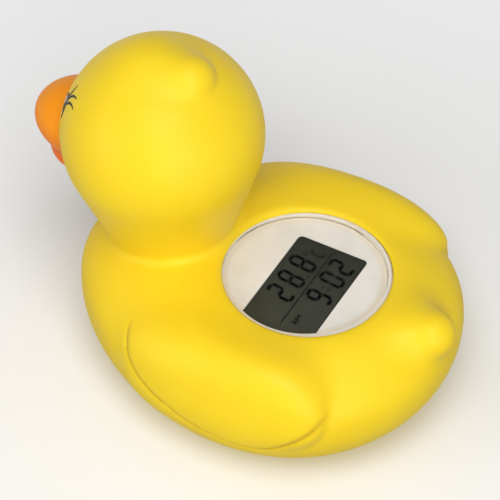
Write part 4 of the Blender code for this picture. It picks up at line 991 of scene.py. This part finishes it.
def striped_finish():
    """The layered rubber strip between board and display: black lines in pale rubber."""
    made = Finish("striped_rubber", 0.6)
    lines = made.feed(made.node("ShaderNodeTexWave", wave_type="BANDS", bands_direction="X"),
                      Vector=made.place, Scale=STRIPE_SCALE, Distortion=0.0)
    made.colour(made.ramp(lines.outputs["Fac"], ((0.45, STRIPE_BLACK), (0.55, STRIPE_PALE))))
    made.roughness(made.ranged(made.noise(MM), 0.52, 0.68))
    return made.bump(lines.outputs["Fac"], STRIPE_DEPTH).material


def ringed_finish(name, colour, roughness, centre):
    """Turned or pressed metal, with fine rings round an upright axis."""
    made = Finish(name, roughness, metallic=1.0)
    moved = made.feed(made.node("ShaderNodeMapping"), Vector=made.place,
                      Location=(-centre.x, -centre.y, 0))
    rings = made.feed(made.node("ShaderNodeTexWave", wave_type="RINGS", rings_direction="Z"),
                      Vector=moved.outputs["Vector"], Scale=RING_SCALE, Distortion=0.6, Detail=1.0)
    marks = made.noise(RING_MARK, 3)
    made.colour(made.ramp(marks, ((0.3, tinted(colour, 0.85)), (0.7, colour))))
    made.roughness(made.ranged(rings.outputs["Fac"], roughness - 0.06, roughness + 0.1, 0.0, 1.0))
    return made.bump(rings.outputs["Fac"], RING_DEPTH).material


def middle(node):
    low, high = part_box(node)
    return (low + high) / 2


def dress(nodes, finish):
    for name in nodes:
        slots = NODES[name].data.materials
        slots.clear()
        slots.append(finish)


def dress_frame():
    """Gives every CAD node that still shows its finish."""
    shell = moulded("white_shell", WHITE, 0.42, Specular_IOR_Level=0.45, Subsurface_Weight=0.2,
                    Subsurface_Radius=(0.004, 0.0035, 0.003), Subsurface_Scale=1.0)
    dress(("core_housing",), shell)
    for name, nodes, colour, roughness, grain, depth in MOULDED:
        dress(nodes, moulded(name, colour, roughness, grain * MM, depth * MM))
    dress(("circuit_board", "key_board"), board_finish())
    dress(("contact_strip",), striped_finish())
    dress(("lens",), clear_finish())
    dress(("display_panel",), panel_finish())
    dress(("key_switch_1", "key_switch_2"), metal("switch_can", SWITCH_TIN, 0.35))
    dress(("contact_bridge", "contact_minus", "contact_plus"),
          metal("contact_nickel", CONTACT_NICKEL, 0.3, (1, 12, 1)))
    screws = [name for name in NODES if "screw" in name]
    for name in ("button_cell_1", "button_cell_2", "sensor_cap", *screws):
        roughness = CELL_ROUGHNESS if "cell" in name else SCREW_ROUGHNESS
        dress((name,), ringed_finish(f"{name}_steel", STEEL, roughness, middle(name)))


def lamp(name, place, size, power):
    """A soft round lamp that looks at the core."""
    made = bpy.data.lights.new(name, "AREA")
    made.shape = "DISK"
    made.size = size
    made.energy = power
    holder = new_object(name, made)
    holder.location = place
    holder.rotation_euler = (CORE - Vector(place)).to_track_quat("-Z", "Y").to_euler()


def direction(azimuth, elevation):
    """Towards a viewer who stands at this azimuth and elevation in degrees. Azimuth 0 is at -Y."""
    a, e = math.radians(azimuth), math.radians(elevation)
    return Vector((math.sin(a) * math.cos(e), -math.cos(a) * math.cos(e), math.sin(e)))


def seen_rays(tree):
    """One where a ray shows a surface to the camera: straight, in a reflection or through glass."""
    path = tree.nodes.new("ShaderNodeLightPath")
    seen = path.outputs["Is Camera Ray"]
    for ray in ("Is Glossy Ray", "Is Transmission Ray"):
        larger = tree.nodes.new("ShaderNodeMath")
        larger.operation = "MAXIMUM"
        tree.links.new(seen, larger.inputs[0])
        tree.links.new(path.outputs[ray], larger.inputs[1])
        seen = larger.outputs["Value"]
    return seen


def paper_finish():
    """Floor paper. It shows from above, fades into the white surround and throws no light back."""
    paper = Finish("floor_paper", 0.85, Specular_IOR_Level=0.2)
    fibres = paper.noise(PAPER_CLOUD, 2)
    lit = paper.ramp(fibres, ((0.3, tinted(FLOOR, 0.985)), (0.7, FLOOR)))
    shown = paper.ramp(fibres, ((0.3, tinted(FLOOR_SHOWN, 0.985)), (0.7, FLOOR_SHOWN)))
    straight = paper.node("ShaderNodeLightPath").outputs["Is Camera Ray"]
    paper.colour(paper.mixed(straight, lit, shown))
    paper.bump(paper.noise(PAPER_GRAIN, 2), PAPER_GRAIN_DEPTH)
    away = paper.node("ShaderNodeVectorMath", operation="LENGTH")
    paper.link(paper.place, away.inputs[0])
    near = paper.ranged(away.outputs["Value"], 1.0, 0.0, *FLOOR_FADE)
    above = paper.math("SUBTRACT", 1.0, paper.node("ShaderNodeNewGeometry").outputs["Backfacing"])
    solid = paper.math("MULTIPLY", paper.math("MULTIPLY", seen_rays(paper.tree), above), near)
    open_air = paper.node("ShaderNodeBsdfTransparent")
    mix = paper.node("ShaderNodeMixShader")
    paper.link(solid, mix.inputs[0])
    paper.link(open_air.outputs["BSDF"], mix.inputs[1])
    paper.link(paper.shader.outputs["BSDF"], mix.inputs[2])
    paper.link(mix.outputs["Shader"], paper.output.inputs["Surface"])
    return paper.material


def studio():
    """Three soft lamps, a pale floor, and a white surround where the camera looks past it."""
    for name, azimuth, elevation, size, power in LAMPS:
        lamp(name, CORE + direction(azimuth, elevation) * LAMP_DISTANCE, size, power)
    world = bpy.data.worlds.new("studio_air")
    bpy.context.scene.world = world
    world.use_nodes = True
    tree = world.node_tree
    air = tree.nodes["Background"]
    air.inputs["Color"].default_value = (1, 1, 1, 1)
    air.inputs["Strength"].default_value = AIR
    seen = tree.nodes.new("ShaderNodeBackground")
    seen.inputs["Color"].default_value = (1, 1, 1, 1)
    seen.inputs["Strength"].default_value = BACKDROP
    mix = tree.nodes.new("ShaderNodeMixShader")
    tree.links.new(seen_rays(tree), mix.inputs[0])
    tree.links.new(air.outputs[0], mix.inputs[1])
    tree.links.new(seen.outputs[0], mix.inputs[2])
    tree.links.new(mix.outputs[0], tree.nodes["World Output"].inputs["Surface"])

    work = bmesh.new()
    bmesh.ops.create_circle(work, cap_ends=True, segments=64, radius=FLOOR_RADIUS)
    floor = new_object("floor", mesh_from(work, "floor"))
    floor.location = (CORE.x, CORE.y, -FLOOR_SINK)
    floor.data.materials.append(paper_finish())


def camera():
    """The photograph's view: a long lens, with the dial a little right of and below the middle."""
    back = direction(VIEW_AZIMUTH, VIEW_ELEVATION)
    right = Vector((math.cos(math.radians(VIEW_AZIMUTH)), math.sin(math.radians(VIEW_AZIMUTH)), 0))
    up = back.cross(right)
    data = bpy.data.cameras.new("camera")
    data.lens = LENS_LENGTH
    data.sensor_width = SENSOR_WIDTH
    data.clip_start, data.clip_end = 0.05, 20.0
    holder = new_object("camera", data)
    holder.location = (Vector((CORE.x, CORE.y, DIAL_Z)) + back * VIEW_DISTANCE
                       + right * VIEW_RIGHT + up * VIEW_UP)
    holder.rotation_euler = Matrix((right, up, back)).transposed().to_euler()
    bpy.context.scene.camera = holder


duck_skin(vinyl_finish())
eyes(moulded("eye_paint", EYE_PAINT, 0.4, PAINT_GRAIN, PAINT_GRAIN_DEPTH, Specular_IOR_Level=0.2),
     moulded("glint_paint", GLINT_PAINT, 0.3, PAINT_GRAIN, PAINT_GRAIN_DEPTH))
display_ink(moulded("display_dark", INK_COLOUR, 0.4, PAINT_GRAIN, INK_GRAIN_DEPTH, Specular_IOR_Level=0.02))
dress_frame()
studio()
camera()
bpy.context.scene.view_settings.view_transform = "Standard"
